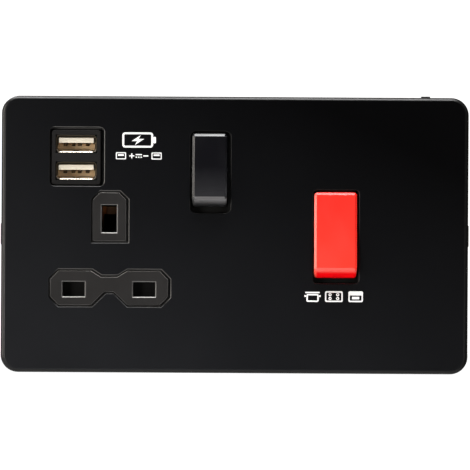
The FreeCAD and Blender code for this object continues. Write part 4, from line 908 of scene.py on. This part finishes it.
# %% The shutter's spring
coil_group, start, end, size = geometry_group("wound_spring", {
    "Radius": 1.5 * mm, "Wire": 0.4 * mm, "Turns": 6.0, "Height": 8.0 * mm,
})
spiral = geometry(coil_group, "CurveSpiral", Resolution=32, Rotations=size["Turns"],
                  Start_Radius=size["Radius"], End_Radius=size["Radius"], Height=0.0)
turn_now = Number(coil_group, geometry(coil_group, "SplineParameter")) * size["Turns"]
closed = turn_now.by("MINIMUM", 1.0) + (turn_now - (size["Turns"] - 1)).by("MAXIMUM", 0.0) + 0.5
opened = ((turn_now - 1) / (size["Turns"] - 2)).by("MAXIMUM", 0.0).by("MINIMUM", 1.0)
climb = size["Wire"] * closed + (size["Height"] - size["Wire"] * 3) * opened
raise_to = add(coil_group, "ShaderNodeCombineXYZ", Z=climb)
wound = geometry(coil_group, "SetPosition", Geometry=spiral, Offset=raise_to.outputs[0])
wire = geometry(coil_group, "CurvePrimitiveCircle", Resolution=10, Radius=size["Wire"] / 2)
swept = geometry(coil_group, "CurveToMesh", Curve=wound, Profile_Curve=wire, Fill_Caps=True)
spread(coil_group, start, end, swept)
low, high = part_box("shutter_spring")
length, wire_width, slide = high.z - low.z, 0.4 * mm, "shutter_slide"
foot = ((low.x + high.x) / 2, (low.y + high.y) / 2, low.z)
spring = grown("shutter_spring_wound", coil_group, [(foot, (0, 0, 0))], {
    "Radius": (high.x - low.x - wire_width) / 2, "Wire": wire_width, "Height": length,
}, "shutter_spring", 60)
travel = next(j for j in frame["record"]["behaviour"]["joints"] if j["name"] == slide)["range_m"][1]
1 - travel / length
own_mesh(spring)
print("spring of", round(length / mm, 1), "mm, pressed to", round((length - travel) / mm, 1))

# %% [markdown]
# The folded shells, the sprung leaves and the raised signs are drawn as rings of corners. One
# helper sets walls between the rings and closes both ends, and another makes the mesh.

# %% Helpers for rings of corners
def tube(shape, rings):
    """Walls between rings of corners that follow each other, closed at the first and the last."""
    for first, second in zip(rings, rings[1:]):
        for i in range(len(first)):
            after = (i + 1) % len(first)
            shape.faces.new((first[i], first[after], second[after], second[i]))
    shape.faces.new(rings[0])
    shape.faces.new(list(reversed(rings[-1])))


def closed_mesh(name, shape, smooth=None):
    """The mesh of closed forms, smooth up to an angle where one is given."""
    bmesh.ops.recalc_face_normals(shape, faces=shape.faces)
    mesh = bpy.data.meshes.new(name)
    shape.to_mesh(mesh)
    shape.free()
    if smooth:
        mesh.shade_smooth()
        mesh.set_sharp_from_angle(angle=radians(smooth))
    return mesh


# %% [markdown]
# Each charging port has a shell folded from thin sheet, tinned and slightly warm in colour. Its two
# ends meet in a seam under the middle, its mouth flares to lead the plug in, and two sprung leaves
# on its floor hold it. The lower lip of that flare faces up and catches the light, which gives the
# bright line under each port. The other three sides stand further back, in the shade of the
# moulding. The sheet is drawn as one closed loop across its thickness, from the back outside over
# the mouth to the back inside, and this loop is carried along the folded outline from one side of
# the seam to the other.

# %% The folded port shells
seam, sheet, flare, lip, set_back = 0.14 * mm, 0.28 * mm, 0.3 * mm, 0.75 * mm, 1.1 * mm
bend_radius, least_radius = 1.25 * mm, 0.25 * mm


def folded_outline(half_width, half_height, radius, run=5):
    """Points of a rounded rectangle from one side of a seam under its middle round to the other."""
    floor = [(seam / 2 + (half_width - radius - seam / 2) * i / run, -half_height) for i in range(run)]
    corners = round_corners(half_width, half_height, radius, (3, 0, 1, 2))
    return floor + corners + [(-x, z) for x, z in reversed(floor)]


def shell_mesh(name, low, high):
    """A folded shell with a flared lower lip."""
    middle, depth = (low + high) / 2, high.y - low.y
    half_width, half_height = (high.x - low.x) / 2, (high.z - low.z) / 2
    outside = ((depth, flare), (2.2 * lip, flare), (lip, 0.85 * flare), (0.4 * lip, 0.4 * flare),
               (0.12 * lip, 0.06 * flare), (0.02 * lip, 0.0))
    inside = ((0.0, 0.03 * mm), (0.0, 0.1 * mm), (0.02 * lip, 0.16 * mm), (0.15 * lip, 0.3 * mm),
              (0.45 * lip, 0.45 * flare + 0.22 * mm), (lip, 0.9 * flare + sheet), (1.6 * lip, flare + sheet),
              (depth, flare + sheet))
    shape = bmesh.new()
    rows = []
    for behind, inset in outside + inside:
        corner = max(bend_radius - inset * 0.6, least_radius)
        row = []
        for x, z in folded_outline(half_width - inset, half_height - inset, corner):
            above = z + half_height - inset
            # One on the lower side, and none from 0.12 mm above it.
            is_lower = min(max(1.2 - above / (0.1 * mm), 0.0), 1.0)
            back = set_back * (1 - is_lower) * max(0.0, 1 - behind / (6 * lip))
            row.append(shape.verts.new((middle.x + x, low.y + behind + back, middle.z + z)))
        rows.append(row)
    tube(shape, list(zip(*rows)))
    return closed_mesh(name, shape, 40)


# %% The sprung leaves
leaf_start, leaf_length, leaf_rise, leaf_half_width = 1.0 * mm, 7.0 * mm, 0.5 * mm, 2.2 * mm
leaf_x, leaf_floor, leaf_under, leaf_over = 2.75 * mm, 0.56 * mm, -0.1 * mm, 0.04 * mm


def leaf_mesh(name, low, high, steps=12):
    """Two sprung leaves that rise from a port's floor. The plug presses them down."""
    shape = bmesh.new()
    for side in (-1, 1):
        x = (low.x + high.x) / 2 + side * leaf_x
        strip = []
        for step in range(steps + 1):
            share = step / steps
            y = low.y + leaf_start + leaf_length * share
            z = low.z + leaf_floor + leaf_rise * sin(pi * share) ** 1.2
            half = leaf_half_width * (1 - 0.2 * abs(2 * share - 1))
            strip.append([shape.verts.new((x + way * half, y, z + level)) for way, level in (
                (-1, leaf_under), (1, leaf_under), (1, leaf_over), (-1, leaf_over))])
        tube(shape, strip)
    return closed_mesh(name, shape, 40)


tinned = finish("port_leaf", (0.5, 0.36, 0.22), (0.66, 0.5, 0.33), drawn, 1500, 0.1, shallow,
                (0.45, 0.55), 0.3)
for node in ("upper_port_shell", "lower_port_shell"):
    low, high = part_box(node)
    leaves = new_piece(node.replace("shell", "leaves"), leaf_mesh(node + "_leaves", low, high), tinned)
    settle(leaves, body_of[node], slots[node])
    piece = new_piece(node + "_folded", shell_mesh(node + "_folded", low, high), finish_of(node))
    settle(piece, body_of[node], slots[node], node)
    print(node, len(piece.data.polygons), "faces")

# %% [markdown]
# Behind, each terminal has its sign in raised strokes on the moulding, as such units have: plain
# strokes for line and neutral, and the earth sign. Each stroke is a low bar with a bevelled top.

# %% Raised signs by the terminals
sign_height, sign_root, stroke_width, bevel_width = 0.45 * mm, 0.05 * mm, 0.5, 0.1
deck_depth = 8.0 * mm
deck_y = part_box("cooker_switch_base")[1].y - deck_depth
levels = ((bevel_width, deck_y - sign_root), (bevel_width, deck_y), (0.0, deck_y + sign_height))


def raised_sign(name, strokes, x, z, node):
    """Strokes that stand out of a rear face, each a bar with a bevelled top, in mm from the middle."""
    whole = bmesh.new()
    for x0, z0, x1, z1 in strokes:
        centre = Vector(((x0 + x1) / 2, (z0 + z1) / 2))
        rings = []
        for grow, y in levels:
            ring = []
            for corner in stroke(x0, z0, x1, z1, stroke_width):
                spot = Vector(corner) + (Vector(corner) - centre).normalized() * grow
                ring.append(whole.verts.new(((x - spot.x) * mm, y, (z + spot.y) * mm)))
            rings.append(ring)
        tube(whole, rings)
    settle(new_piece(name, closed_mesh(name, whole), finish_of(node)), body_of[node], slots[node])


line_sign = [(-0.8, 1.6, -0.8, -1.6), (-1.05, -1.35, 1.0, -1.35)]
neutral_sign = [(-1.1, 1.6, -1.1, -1.6), (1.1, 1.6, 1.1, -1.6), (-1.1, 1.3, 1.1, -1.3)]
earth_sign = [(0, 1.8, 0, 0), (-1.6, 0, 1.6, 0), (-1.05, -0.8, 1.05, -0.8), (-0.5, -1.6, 0.5, -1.6)]
signs = [(f"sign_{side}_{sign}", strokes, f"{side}_{pole}_terminal", gap, "cooker_switch_base")
         for side, gap in (("supply", -4.2), ("load", 4.2))
         for sign, pole, strokes in (("line", "live", line_sign), ("neutral", "neutral", neutral_sign))]
signs.append(("sign_earth", earth_sign, "earth_terminal", 4.6, "socket_base"))
for name, strokes, terminal, gap, moulding in signs:
    low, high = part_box(terminal)
    edge = low.z if gap < 0 else high.z
    raised_sign(name, strokes, (low.x + high.x) / 2 / mm, edge / mm + gap, moulding)

# %% [markdown]
# Round marks show where the mould's pins pushed the mouldings out. Each is a low ring round a flat
# middle. They repeat, so a third group grows them with the helper that turned the screws.

# %% Marks of the mould's pins
pin_group, start, end, size = geometry_group("mould_pin_mark", {
    "Radius": 2.0 * mm, "Height": 0.3 * mm, "Rim": 0.7 * mm,
})
mark_rows, mark_sides, mark_radius = 7, 32, 1.9 * mm


def mark_profile(share, angle):
    """From the middle below over the foot, the edge and the ring's top to the middle above."""
    row = share * (mark_rows - 1)
    past = [row.by("GREATER_THAN", index + 0.5) for index in range(5)]
    inside = past[0] * row.by("LESS_THAN", mark_rows - 1.5)
    inward = past[2] * 0.2 + past[3] * 0.6 + past[4] * 0.2
    level = past[1] * 0.8 + past[2] * 0.4 - past[4] * 0.8
    return (size["Radius"] - size["Rim"] * inward) * inside, size["Height"] * (level - 0.2)


spread(pin_group, start, end, turned(pin_group, mark_sides, mark_rows, mark_profile))


def pin_marks(name, node, spots):
    """Marks on a rear face, at spots in mm."""
    places = [((x * mm, deck_y, z * mm), (radians(-90), 0, 0)) for x, z in spots]
    grown(name, pin_group, places, {"Radius": mark_radius}, node, replace=False)


pin_marks("marks_socket_base", "socket_base",
          ((-48, -12), (-26, 6), (-30, -26), (-48, 8), (4, 4), (-8, 28)))
pin_marks("marks_cooker_base", "cooker_switch_base", ((19, 6), (44, 6), (19, -6), (44, -6)))
